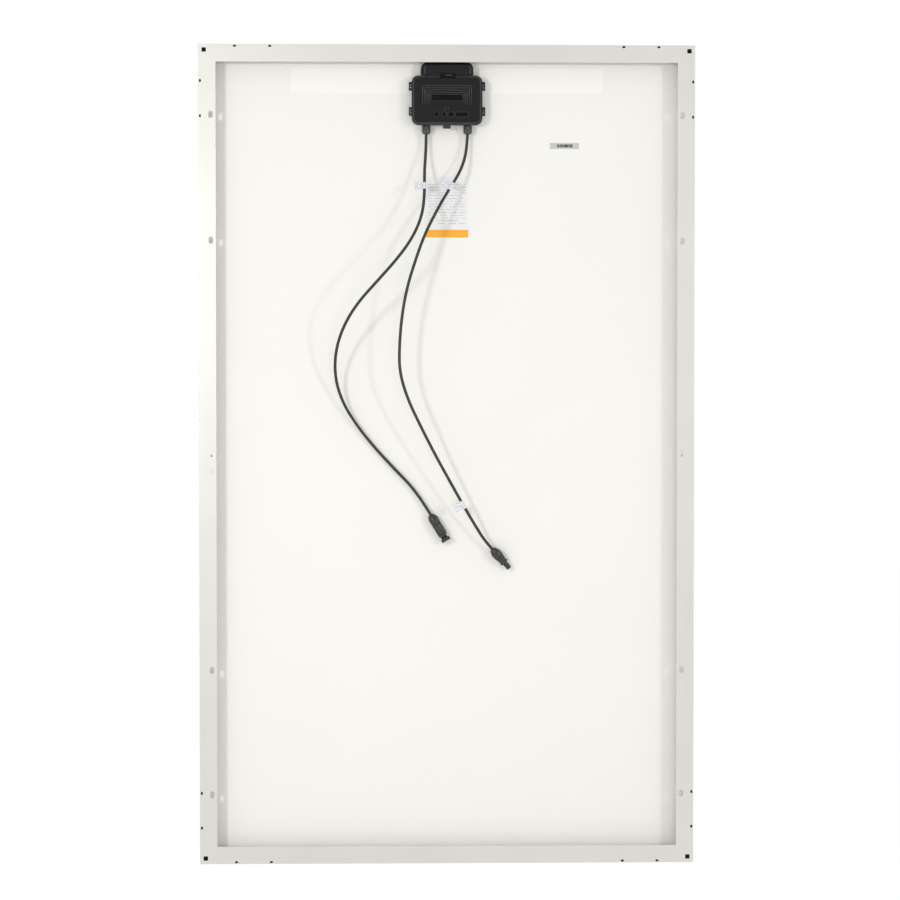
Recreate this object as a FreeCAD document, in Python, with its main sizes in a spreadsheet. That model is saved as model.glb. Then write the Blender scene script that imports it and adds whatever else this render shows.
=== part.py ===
import FreeCAD, Part
import math
import os
import Sketcher

# A framed solar module of sixty cells with its junction box, two cables and a pair of
# coupling plugs. Lengths are in millimetres.
#
# Part frame: X to the right seen from behind, Z up (the junction box end), Y from the
# rear of the frame (y = 0) to its front face. The origin is the centre of the rear plane.
#
# Every piece is drawn as the module lies face down on a bench: x across, y along its
# height and z out of its back, with z = 0 on the rear of the frame. Its Placement then
# stands it up, which turns bench z into -Y and bench y into Z.

Vector = FreeCAD.Vector
Rotation = FreeCAD.Rotation
Placement = FreeCAD.Placement

SIZES = {
    # Frame
    "module_width": 992,
    "module_height": 1640,
    "module_depth": 40,
    "rail_wall": 1.6,
    "chamber_width": 16,
    "flange_width": 35,
    "flange_thickness": 1.8,
    "lip_width": 11,
    "lip_thickness": 1.8,
    "shelf_thickness": 1.5,
    "rail_edge_radius": 0.5,
    # Holes in the rear flange
    "slot_inset": 25,
    "slot_width": 9,
    "slot_length": 14,
    "outer_slot_pitch": 1360,
    "inner_slot_pitch": 860,
    "grounding_hole_radius": 2.7,
    "drain_inset": 4,
    "drain_width": 4,
    "drain_length": 6.3,
    "drain_near_corner": 73,
    "drain_far_corner": 143,
    "corner_hole_inset": 11.7,
    "corner_hole_side": 8,
    # Corner keys
    "key_leg": 62,
    "key_wall": 3,
    "key_clearance": 0.1,
    # Laminate
    "laminate_inset": 3,
    "seal_thickness": 0.8,
    "seal_margin": 0.5,
    "glass_thickness": 3.2,
    "front_eva_thickness": 0.5,
    "backsheet_thickness": 0.35,
    "cell_side_margin": 17.5,
    "cell_end_margin": 23.5,
    "cell_corner": 14,
    "cell_gap": 3,
    "cell_thickness": 0.2,
    "ribbon_width": 1.5,
    "ribbon_thickness": 0.2,
    "ribbon_overrun": 6,
    "bus_width": 5,
    "bus_thickness": 0.3,
    "bus_overhang": 4,
    "bus_row_gap": 3,
    "lead_width": 5,
    "lead_thickness": 0.2,
    "lead_insulation": 0.1,
    "lead_tail": 10,
    "strip_width": 628,
    "strip_height": 50,
    "strip_thickness": 0.1,
    "strip_drop": 66,
    # Junction box
    "box_drop": 109,
    "adhesive_thickness": 1,
    "adhesive_inset": 2,
    "adhesive_width": 8,
    "lid_width": 141.4,
    "lid_height": 98.5,
    "lid_corner": 13,
    "lid_wall": 2.4,
    "lid_clearance": 0.3,
    "lid_roof": 2.6,
    "lid_skirt": 5,
    "plateau_border": 7.5,
    "plateau_corner": 8,
    "plateau_rise": 1.6,
    "panel_width": 62,
    "panel_height": 13,
    "panel_centre": 5.8,
    "panel_recess": 0.6,
    "base_depth": 20,
    "base_wall": 2.2,
    "base_floor": 2,
    "hump_width": 105,
    "hump_reach": 29.2,
    "hump_corner": 12,
    "hump_gap": 0.5,
    "hump_rib_spacing": 87.4,
    "hump_rib_length": 18,
    "hump_rib_width": 1.6,
    "hump_rib_rise": 0.4,
    "gasket_width": 1.6,
    "gasket_inset": 0.3,
    "gasket_gap": 0.1,
    "rim_gap": 0.8,
    "gasket_groove": 0.8,
    "loop_reach": 8.5,
    "loop_height": 16.3,
    "loop_depth": 8,
    "loop_pitch": 50.4,
    "loop_centre": 3.8,
    "loop_hole_width": 3.6,
    "loop_hole_height": 9,
    "loop_wall": 2.2,
    "prong_clearance": 0.5,
    "prong_height": 5,
    "prong_bridge": 1.6,
    "prong_length": 8,
    "pull_tab_width": 15.6,
    "pull_tab_reach": 7.2,
    "pull_tab_thickness": 2,
    # Inside the junction box
    "terminal_pitch": 26,
    "terminal_width": 18,
    "terminal_length": 52,
    "terminal_thickness": 0.8,
    "terminal_centre": 4,
    "boss_margin": 3,
    "window_height": 8,
    "window_centre": 34,
    "window_margin": 4,
    "diode_radius": 2.7,
    "diode_end_gap": 0.3,
    "diode_lead_radius": 0.6,
    "diode_lead_overlap": 6,
    "diode_row": -9,
    # Cable glands
    "gland_spacing": 83.2,
    "gland_axis_height": 11.5,
    "gland_stub_radius": 6.4,
    "gland_stub_length": 9,
    "gland_seal_radius": 5.2,
    "gland_seal_length": 8,
    "gland_fit": 0.15,
    "gland_nut_radius": 8.7,
    "gland_nut_length": 16,
    "gland_nut_start": 3.6,
    "gland_nut_round": 4.5,
    "gland_flutes": 14,
    "flute_radius": 0.9,
    # Cables and plugs
    "cable_radius": 3,
    "cable_clearance": 0.3,
    "cable_inside_box": 4,
    "cable_straight": 24,
    "cable_inside_plug": 10,
    "conductor_radius": 1.4,
    "conductor_tail": 28,
    "plug_nut_length": 21,
    "plug_nut_radius": 9.2,
    "plug_nut_taper": 7,
    "plug_nut_mouth": 6,
    "plug_mouth_depth": 2.5,
    "plug_seal_radius": 5.4,
    "plug_thread_radius": 6.8,
    "plug_thread_length": 9,
    "plug_fit": 0.1,
    "plug_seal_length": 7,
    "plug_wall": 2.2,
    "pin_housing_length": 26,
    "pin_housing_radius": 9,
    "pin_cavity_depth": 16,
    "pin_collar_radius": 9.6,
    "pin_collar_length": 5,
    "arm_reach": 14.5,
    "arm_width": 8,
    "arm_thickness": 2.2,
    "arm_inset": 0.3,
    "arm_notch": 2.6,
    "arm_hook_length": 4,
    "pin_guard_radius": 3.9,
    "pin_guard_bore": 2.8,
    "pin_guard_reach": 10,
    "socket_collar_length": 16,
    "socket_collar_radius": 9.2,
    "socket_shoulder_radius": 6.4,
    "latch_length": 7,
    "latch_reach": 8.6,
    "latch_root": 5.4,
    "latch_width": 5,
    "latch_land": 2,
    "socket_nose_radius": 5.2,
    "socket_nose_length": 14.6,
    "contact_crimp_radius": 2.5,
    "contact_crimp_length": 9,
    "contact_shoulder_radius": 3.4,
    "contact_shoulder_length": 2,
    "contact_fit": 0.05,
    "pin_radius": 2,
    "pin_length": 23,
    "socket_radius": 2.9,
    "socket_length": 28,
    "socket_bore_radius": 2.05,
    "socket_bore_depth": 14,
    # Labels and tags
    "label_thickness": 0.2,
    "rating_label_width": 86,
    "rating_label_height": 122,
    "rating_label_drop": 319.5,
    "serial_label_width": 59,
    "serial_label_height": 12,
    "serial_label_x": 237,
    "serial_label_drop": 196,
    "tag_length": 14,
    "tag_flag": 16,
    "tag_wall": 0.4,
    "left_tag_distance": 133,
    "right_upper_tag_distance": 143,
    "right_lower_tag_distance": 838,
}

STRINGS = 6
CELLS_PER_STRING = 10
RIBBONS_PER_CELL = 3
TERMINALS = 4

# Each cable's route after its straight run out of the gland, chosen by hand: x and y in
# the part frame, and z from the middle of the junction box. The last two points give the
# direction of the plug.
LEFT_ROUTE = [
    (-45.5, 3.5, -143),
    (-45, -15, -190),
    (-50, -35, -236),
    (-70, -54, -283),
    (-101, -67, -326),
    (-140, -66, -369),
    (-179, -53, -411),
    (-208, -35, -458),
    (-223.5, -14, -508),
    (-224, 5, -558),
    (-209, 17, -606),
    (-182, 23, -650),
    (-147, 26, -694),
    (-109, 26.5, -735),
    (-72, 25.5, -773),
    (-48, 23.5, -806),
    (-32.7, 22.3, -831),
]
RIGHT_ROUTE = [
    (29, 6, -139),
    (1, -7, -184),
    (-23, -18, -227),
    (-46, -27, -274),
    (-64, -31, -325),
    (-80, -31, -377),
    (-90, -28.5, -431),
    (-95, -27.5, -487),
    (-95.5, -27, -543),
    (-78.5, -24.5, -599),
    (-52, -20.5, -654),
    (-25, -14, -707),
    (2.5, -8.5, -757),
    (31, -2.5, -808),
    (58, 7, -854),
    (76, 14.8, -882.5),
    (91.6, 17.5, -900),
]

doc = FreeCAD.newDocument("solar_module")
sheet = doc.addObject("Spreadsheet::Sheet", "Sizes")
for row, (alias, value) in enumerate(SIZES.items(), start=1):
    sheet.set(f"A{row}", alias)
    sheet.set(f"B{row}", str(value))
    sheet.setAlias(f"B{row}", alias)
doc.recompute()


class Length:
    """A length that carries its spreadsheet formula along with its value."""

    def __init__(self, value, formula):
        self.value = value
        self.formula = formula

    def __add__(self, other):
        other = length(other)
        return Length(self.value + other.value, f"({self.formula} + {other.formula})")

    def __sub__(self, other):
        other = length(other)
        return Length(self.value - other.value, f"({self.formula} - {other.formula})")

    def __mul__(self, factor):
        factor = length(factor)
        return Length(self.value * factor.value, f"({self.formula} * {factor.formula})")

    def __truediv__(self, divisor):
        divisor = length(divisor)
        return Length(self.value / divisor.value, f"({self.formula} / {divisor.formula})")

    def __neg__(self):
        return Length(-self.value, f"(0 - {self.formula})")


def length(number):
    """Turn a plain number into a Length, and leave a Length as it is."""
    if isinstance(number, Length):
        return number
    return Length(float(number), f"({number})")


def size(alias):
    """The driving dimension of this name."""
    return Length(float(sheet.get(alias)), f"Sizes.{alias}")


# Sketch and feature helpers


def new_body(label):
    body = doc.addObject("PartDesign::Body", label)
    body.Label = label
    body.AllowCompound = True
    return body


def sketch_on(body, name, plane_role, offset=None):
    """A sketch on one of the body's own origin planes, lifted by offset along its normal."""
    sketch = body.newObject("Sketcher::SketchObject", f"{body.Label}_{name}")
    for feature in body.Origin.OriginFeatures:
        if feature.Role == plane_role:
            sketch.AttachmentSupport = [(feature, "")]
    sketch.MapMode = "FlatFace"
    if offset is not None:
        sketch.setExpression("AttachmentOffset.Base.z", offset.formula)
    return sketch


def bind(sketch, constraint, wanted):
    """Add a dimension to a sketch and tie it to its formula."""
    index = sketch.addConstraint(constraint)
    sketch.setExpression(f"Constraints[{index}]", wanted.formula)


def pin_point(sketch, edge, end, x, y):
    """Fix one end of a sketch edge at x, y from the sketch's origin."""
    x = length(x)
    y = length(y)
    bind(sketch, Sketcher.Constraint("DistanceX", -1, 1, edge, end, x.value), x)
    bind(sketch, Sketcher.Constraint("DistanceY", -1, 1, edge, end, y.value), y)


def draw_polygon(sketch, corners):
    first = sketch.GeometryCount
    corners = [(length(x), length(y)) for x, y in corners]
    points = [Vector(x.value, y.value, 0) for x, y in corners]
    count = len(points)
    for index, point in enumerate(points):
        sketch.addGeometry(Part.LineSegment(point, points[(index + 1) % count]), False)
    for index in range(count):
        following = first + (index + 1) % count
        sketch.addConstraint(Sketcher.Constraint("Coincident", first + index, 2, following, 1))
    for index, (x, y) in enumerate(corners):
        pin_point(sketch, first + index, 1, x, y)


def draw_rectangle(sketch, width, height, x=0, y=0):
    """A rectangle about the centre x, y."""
    x = length(x)
    y = length(y)
    right = x + width / 2
    left = x - width / 2
    top = y + height / 2
    bottom = y - height / 2
    draw_polygon(sketch, [(left, bottom), (right, bottom), (right, top), (left, top)])


def draw_circle(sketch, radius, x=0, y=0):
    x = length(x)
    y = length(y)
    centre = Vector(x.value, y.value, 0)
    edge = sketch.addGeometry(Part.Circle(centre, Vector(0, 0, 1), radius.value), False)
    pin_point(sketch, edge, 3, x, y)
    bind(sketch, Sketcher.Constraint("Radius", edge, radius.value), radius)


def draw_rounded(sketch, centres, radius):
    """The outline round equal circles at these centres, given anticlockwise."""
    first = sketch.GeometryCount
    centres = [(length(x), length(y)) for x, y in centres]
    points = [Vector(x.value, y.value, 0) for x, y in centres]
    count = len(points)
    headings = []
    for index, point in enumerate(points):
        step = points[(index + 1) % count] - point
        headings.append(math.atan2(step.y, step.x))
    for index, point in enumerate(points):
        start = headings[index - 1] - math.pi / 2
        turn = (headings[index] - headings[index - 1]) % (2 * math.pi)
        circle = Part.Circle(point, Vector(0, 0, 1), radius.value)
        sketch.addGeometry(Part.ArcOfCircle(circle, start, start + turn), False)
    for index, point in enumerate(points):
        outward = headings[index] - math.pi / 2
        offset = Vector(math.cos(outward), math.sin(outward), 0) * radius.value
        following = points[(index + 1) % count]
        sketch.addGeometry(Part.LineSegment(point + offset, following + offset), False)
    for index in range(count):
        line = first + count + index
        following = first + (index + 1) % count
        sketch.addConstraint(Sketcher.Constraint("Tangent", first + index, 2, line, 1))
        sketch.addConstraint(Sketcher.Constraint("Tangent", line, 2, following, 1))
    for index, (x, y) in enumerate(centres):
        pin_point(sketch, first + index, 3, x, y)
        bind(sketch, Sketcher.Constraint("Radius", first + index, radius.value), radius)


def draw_rounded_rectangle(sketch, width, height, radius, x=0, y=0):
    x = length(x)
    y = length(y)
    across = width / 2 - radius
    along = height / 2 - radius
    corners = [(x - across, y - along), (x + across, y - along)]
    corners += [(x + across, y + along), (x - across, y + along)]
    draw_rounded(sketch, corners, radius)


def draw_slot(sketch, width, slot_length, x, y):
    """An oblong hole that is long in x."""
    reach = (slot_length - width) / 2
    draw_rounded(sketch, [(length(x) - reach, y), (length(x) + reach, y)], width / 2)


def pad(body, sketch, depth, both_ways=False):
    feature = body.newObject("PartDesign::Pad", sketch.Label + "_pad")
    feature.Profile = sketch
    feature.setExpression("Length", length(depth).formula)
    feature.Midplane = both_ways
    return feature


def pocket(body, sketch, depth, along_normal=False, both_ways=False):
    """Cut against the sketch's normal, or along it. A cut that removes nothing is an error."""
    doc.recompute()
    before = body.Shape.Volume
    feature = body.newObject("PartDesign::Pocket", sketch.Label + "_cut")
    feature.Profile = sketch
    feature.setExpression("Length", length(depth).formula)
    feature.Reversed = along_normal
    feature.Midplane = both_ways
    doc.recompute()
    if body.Shape.Volume > before - 1e-6:
        raise RuntimeError(f"{sketch.Label} cuts nothing")
    return feature


def revolve(body, sketch):
    """Turn a sketch once round its own vertical axis."""
    feature = body.newObject("PartDesign::Revolution", sketch.Label + "_turned")
    feature.Profile = sketch
    feature.ReferenceAxis = (sketch, ["V_Axis"])
    feature.Angle = 360
    return feature


def repeat_round(body, feature, sketch, count):
    """Repeat a feature round the normal of its sketch."""
    pattern = body.newObject("PartDesign::PolarPattern", feature.Label + "_round")
    pattern.Originals = [feature]
    pattern.Axis = (sketch, ["N_Axis"])
    pattern.Angle = 360
    pattern.setExpression("Occurrences", count.formula)
    body.Tip = pattern
    return pattern


def repeat_along(body, feature, sketch, axis, pitch, count):
    """Repeat a feature along an axis of its sketch, count times at this pitch."""
    pattern = body.newObject("PartDesign::LinearPattern", feature.Label + "_row")
    pattern.Originals = [feature]
    pattern.Direction = (sketch, [axis])
    pattern.setExpression("Length", (pitch * (count - 1)).formula)
    pattern.Occurrences = count
    body.Tip = pattern
    return pattern


STAND_UP = Rotation(Vector(1, 0, 0), 90)


def stand(piece, x=0, y=0, z=0, turn=0):
    """Set a piece drawn on the bench at bench x, y, z, turned about bench z, and stand it up."""
    x = length(x)
    y = length(y)
    z = length(z)
    spin = Rotation(Vector(0, 0, 1), turn)
    piece.Placement = Placement(Vector(x.value, -z.value, y.value), STAND_UP.multiply(spin))
    piece.setExpression("Placement.Base.x", x.formula)
    piece.setExpression("Placement.Base.y", (-z).formula)
    piece.setExpression("Placement.Base.z", y.formula)


def box(label, width, height, depth):
    """A Part box of this width, height and depth."""
    piece = doc.addObject("Part::Box", label)
    piece.Label = label
    piece.setExpression("Length", length(width).formula)
    piece.setExpression("Width", length(height).formula)
    piece.setExpression("Height", length(depth).formula)
    return piece


def plate(label, width, height, depth, x=0, y=0, z=0):
    """A flat sheet centred at bench x, y, whose front face is at bench z."""
    piece = box(label, width, height, depth)
    stand(piece, length(x) - length(width) / 2, length(y) - length(height) / 2, z)
    return piece


def cut(label, base, tools):
    """Take the tools away from the base."""
    group = doc.addObject("Part::Compound", label + "_tools")
    group.Links = tools
    piece = doc.addObject("Part::Cut", label)
    piece.Label = label
    piece.Base = base
    piece.Tool = group
    return piece


nodes = []


def keep(piece):
    """Note a finished piece, which is written to a file of its own name."""
    nodes.append(piece)
    return piece


# Levels of the laminate along bench z, from the glass to the back

width = size("module_width")
height = size("module_height")
depth = size("module_depth")
seal = size("seal_thickness")

glass_front = size("lip_thickness") + seal - depth
glass_rear = glass_front + size("glass_thickness")
cell_front = glass_rear + size("front_eva_thickness")
ribbon_rear_front = size("cell_thickness")
bus_front = ribbon_rear_front + size("ribbon_thickness")
inner_lead_front = bus_front + size("bus_thickness")
outer_lead_front = inner_lead_front + size("lead_insulation")
rear_eva_thickness = outer_lead_front + size("lead_thickness")
backsheet_front = cell_front + rear_eva_thickness
backsheet_rear = backsheet_front + size("backsheet_thickness")
shelf_front = backsheet_rear + seal
shelf_rear = shelf_front + size("shelf_thickness")

laminate_width = width - size("laminate_inset") * 2
laminate_height = height - size("laminate_inset") * 2
top_edge = height / 2
box_y = top_edge - size("box_drop")
cell_room_across = laminate_width - size("cell_side_margin") * 2 - size("cell_gap") * (STRINGS - 1)
cell_room_along = laminate_height - size("cell_end_margin") * 2 - size("cell_gap") * (CELLS_PER_STRING - 1)
cell_width = cell_room_across / STRINGS
cell_height = cell_room_along / CELLS_PER_STRING
string_pitch = cell_width + size("cell_gap")
cell_pitch = cell_height + size("cell_gap")
ribbon_pitch = cell_width / RIBBONS_PER_CELL


# Frame


def frame_rail(label, rail_length, turn, x, y, bolted):
    """One mitred rail, drawn with its outer face on y = 0 and the module on its +y side."""
    wall = size("rail_wall")
    chamber = size("chamber_width")
    flange = size("flange_width")
    flange_front = -size("flange_thickness")
    lip_rear = size("lip_thickness") - depth
    half = rail_length / 2

    body = new_body(label)
    profile = sketch_on(body, "profile", "YZ_Plane")
    draw_polygon(profile, [
        (0, 0), (flange, 0), (flange, flange_front), (chamber, flange_front),
        (chamber, shelf_front), (wall, shelf_front), (wall, lip_rear),
        (size("lip_width"), lip_rear), (size("lip_width"), -depth), (0, -depth),
    ])
    draw_polygon(profile, [
        (wall, flange_front), (chamber - wall, flange_front),
        (chamber - wall, shelf_rear), (wall, shelf_rear),
    ])
    extrusion = pad(body, profile, rail_length, both_ways=True)
    doc.recompute()

    outer_edges = []
    for number, edge in enumerate(extrusion.Shape.Edges, start=1):
        middle = edge.CenterOfMass
        on_outer_face = abs(middle.y) < 1e-6
        if on_outer_face and edge.Length > rail_length.value - 1e-3:
            outer_edges.append(f"Edge{number}")
    rounding = body.newObject("PartDesign::Fillet", label + "_edges")
    rounding.Base = (extrusion, outer_edges)
    rounding.setExpression("Radius", size("rail_edge_radius").formula)

    mitre = sketch_on(body, "mitre", "XY_Plane")
    beyond = flange + 1
    for side in (1, -1):
        draw_polygon(mitre, [
            ((half + 1) * side, -1),
            ((half + 1) * side, beyond),
            ((half - beyond) * side, beyond),
        ])
    pocket(body, mitre, depth * 3, both_ways=True)

    holes = sketch_on(body, "holes", "XY_Plane")
    for side in (1, -1):
        corner = (half - size("corner_hole_inset")) * side
        draw_rectangle(holes, size("corner_hole_side"), size("corner_hole_side"),
                       corner, size("corner_hole_inset"))
        for from_corner in ("drain_near_corner", "drain_far_corner"):
            draw_slot(holes, size("drain_width"), size("drain_length"),
                      (half - size(from_corner)) * side, size("drain_inset"))
        if bolted:
            for pitch in ("outer_slot_pitch", "inner_slot_pitch"):
                draw_slot(holes, size("slot_width"), size("slot_length"),
                          size(pitch) / 2 * side, size("slot_inset"))
    if bolted:
        draw_circle(holes, size("grounding_hole_radius"), 0, size("slot_inset"))
    pocket(body, holes, size("flange_thickness"))
    stand(body, x, y, 0, turn)
    return keep(body)


def corner_key(label, turn, x, y):
    """An angle of extruded aluminium that fills the chambers of two rails at a corner."""
    gap = size("key_clearance")
    near = size("rail_wall") + gap
    far = size("chamber_width") - size("rail_wall") - gap
    leg = size("key_leg")
    web = size("key_wall")

    body = new_body(label)
    outline = sketch_on(body, "outline", "XY_Plane", -size("flange_thickness") - gap)
    draw_polygon(outline, [(near, near), (leg, near), (leg, far), (far, far), (far, leg), (near, leg)])
    draw_polygon(outline, [
        (far + web, near + web), (leg - web, near + web), (leg - web, far - web), (far + web, far - web),
    ])
    draw_polygon(outline, [
        (near + web, far + web), (far - web, far + web), (far - web, leg - web), (near + web, leg - web),
    ])
    tall = -shelf_rear - size("flange_thickness") - gap * 2
    extrusion = pad(body, outline, tall)
    extrusion.Reversed = True
    stand(body, x, y, 0, turn)
    return keep(body)


def build_frame():
    half_width = width / 2
    half_height = height / 2
    frame_rail("frame_rail_bottom", width, 0, 0, -half_height, False)
    frame_rail("frame_rail_right", height, 90, half_width, 0, True)
    frame_rail("frame_rail_top", width, 180, 0, half_height, False)
    frame_rail("frame_rail_left", height, 270, -half_width, 0, True)
    corner_key("corner_key_bottom_left", 0, -half_width, -half_height)
    corner_key("corner_key_bottom_right", 90, half_width, -half_height)
    corner_key("corner_key_top_right", 180, half_width, half_height)
    corner_key("corner_key_top_left", 270, -half_width, half_height)


# Laminate


def cell_x(string):
    """Centre of a string of cells, counted from the left seen from behind."""
    return string_pitch * (string - (STRINGS - 1) / 2)


def cell_y(cell):
    """Centre of a cell in its string, counted from the bottom."""
    return cell_pitch * (cell - (CELLS_PER_STRING - 1) / 2)


def cell_string(string):
    """Ten wafers with cut corners, in a row."""
    body = new_body(f"cell_string_{string + 1}")
    corner = size("cell_corner")
    side = cell_width / 2
    low = cell_y(0) - cell_height / 2
    high = cell_y(0) + cell_height / 2
    outline = sketch_on(body, "wafer", "XY_Plane")
    draw_polygon(outline, [
        (-side + corner, low), (side - corner, low), (side, low + corner), (side, high - corner),
        (side - corner, high), (-side + corner, high), (-side, high - corner), (-side, low + corner),
    ])
    wafer = pad(body, outline, size("cell_thickness"))
    repeat_along(body, wafer, outline, "V_Axis", cell_pitch, CELLS_PER_STRING)
    stand(body, cell_x(string), 0, cell_front)
    return keep(body)


def top_row(string):
    """Bench y of the bus row that a string's ribbons reach at the top of the module."""
    near = cell_y(CELLS_PER_STRING - 1) + cell_height / 2 + size("ribbon_overrun") + size("bus_width") / 2
    if string in (0, STRINGS - 1):
        return near + size("bus_width") + size("bus_row_gap")
    return near


def bottom_row():
    """Bench y of the bus row under the strings."""
    return cell_y(0) - cell_height / 2 - size("ribbon_overrun") - size("bus_width") / 2


def tabbing_ribbons(string):
    """Tinned copper ribbons, each from the front of one cell to the rear of the next.

    The first lies behind the bottom cell from the bus under it, and the last runs from the
    front of the top cell to the bus above it.
    """
    body = new_body(f"tabbing_ribbons_{string + 1}")
    thin = size("ribbon_thickness")
    rear = ribbon_rear_front
    half = cell_height / 2
    step = half + size("cell_gap") / 2

    def weave(sketch, start, end):
        draw_polygon(sketch, [
            (start - half, -thin), (start + step + thin / 2, -thin),
            (start + step + thin / 2, rear), (end, rear),
            (end, rear + thin), (start + step - thin / 2, rear + thin),
            (start + step - thin / 2, 0), (start - half, 0),
        ])

    links = sketch_on(body, "link", "YZ_Plane", -ribbon_pitch)
    weave(links, cell_y(0), cell_y(1) + half)
    link = pad(body, links, size("ribbon_width"), both_ways=True)
    grid = body.newObject("PartDesign::MultiTransform", body.Label + "_grid")
    grid.Originals = [link]
    along = body.newObject("PartDesign::LinearPattern", body.Label + "_along")
    along.Direction = (links, ["H_Axis"])
    along.setExpression("Length", (cell_pitch * (CELLS_PER_STRING - 2)).formula)
    along.Occurrences = CELLS_PER_STRING - 1
    across = body.newObject("PartDesign::LinearPattern", body.Label + "_across")
    across.Direction = (links, ["N_Axis"])
    across.setExpression("Length", (ribbon_pitch * (RIBBONS_PER_CELL - 1)).formula)
    across.Occurrences = RIBBONS_PER_CELL
    grid.Transformations = [along, across]
    body.Tip = grid

    ends = sketch_on(body, "end", "YZ_Plane", -ribbon_pitch)
    weave(ends, cell_y(CELLS_PER_STRING - 1), top_row(string) + size("bus_width") / 2)
    bottom = bottom_row() - size("bus_width") / 2
    first_end = cell_y(0) + half
    draw_polygon(ends, [(bottom, rear), (first_end, rear), (first_end, rear + thin), (bottom, rear + thin)])
    tail = pad(body, ends, size("ribbon_width"), both_ways=True)
    repeat_along(body, tail, ends, "N_Axis", ribbon_pitch, RIBBONS_PER_CELL)
    stand(body, cell_x(string), 0, cell_front)
    return keep(body)


def bus_bar(label, left, right, y, thickness):
    """A flat tinned ribbon from left to right, behind the ends of the tabbing ribbons."""
    bar = box(label, right - left, size("bus_width"), thickness)
    stand(bar, left, y - size("bus_width") / 2, cell_front + bus_front)
    return bar


def terminal_x(number):
    return size("terminal_pitch") * (number - (TERMINALS - 1) / 2)


def bus_ribbons():
    """Three bars under the strings, and four above them that lead to the terminals."""
    overhang = ribbon_pitch + size("bus_overhang")
    thickness = size("bus_thickness")
    lead_half = size("lead_width") / 2
    bars = []
    for first in range(0, STRINGS, 2):
        bars.append(bus_bar(f"bus_bottom_{first // 2 + 1}", cell_x(first) - overhang,
                            cell_x(first + 1) + overhang, bottom_row(), thickness))
    bars.append(bus_bar("bus_top_inner_left", cell_x(1) - overhang, terminal_x(1) + lead_half,
                        top_row(1), thickness))
    bars.append(bus_bar("bus_top_inner_right", terminal_x(2) - lead_half, cell_x(4) + overhang,
                        top_row(4), thickness))
    thicker = thickness + size("lead_insulation")
    bars.append(bus_bar("bus_top_outer_left", cell_x(0) - overhang, terminal_x(0) + lead_half,
                        top_row(0), thicker))
    bars.append(bus_bar("bus_top_outer_right", terminal_x(3) - lead_half, cell_x(5) + overhang,
                        top_row(5), thicker))
    group = doc.addObject("Part::Compound", "bus_ribbons")
    group.Label = "bus_ribbons"
    group.Links = bars
    return keep(group)


def lead_out_ribbons():
    """Four ribbons from the top buses, out through the backsheet and onto the terminals."""
    body = new_body("lead_out_ribbons")
    thin = size("lead_thickness")
    bend = box_y + size("window_centre")
    plate_rear = backsheet_rear + terminal_seat + size("terminal_thickness") - cell_front
    for number in range(TERMINALS):
        outer = number in (0, TERMINALS - 1)
        front = outer_lead_front if outer else inner_lead_front
        string = 0 if outer else 1
        start = top_row(string) + size("bus_width") / 2
        profile = sketch_on(body, f"lead_{number + 1}", "YZ_Plane", terminal_x(number))
        draw_polygon(profile, [
            (start, front), (bend - thin, front), (bend - thin, plate_rear),
            (bend - thin - size("lead_tail"), plate_rear),
            (bend - thin - size("lead_tail"), plate_rear + thin),
            (bend, plate_rear + thin), (bend, front + thin), (start, front + thin),
        ])
        pad(body, profile, size("lead_width"), both_ways=True)
    stand(body, 0, 0, cell_front)
    return keep(body)


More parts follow.
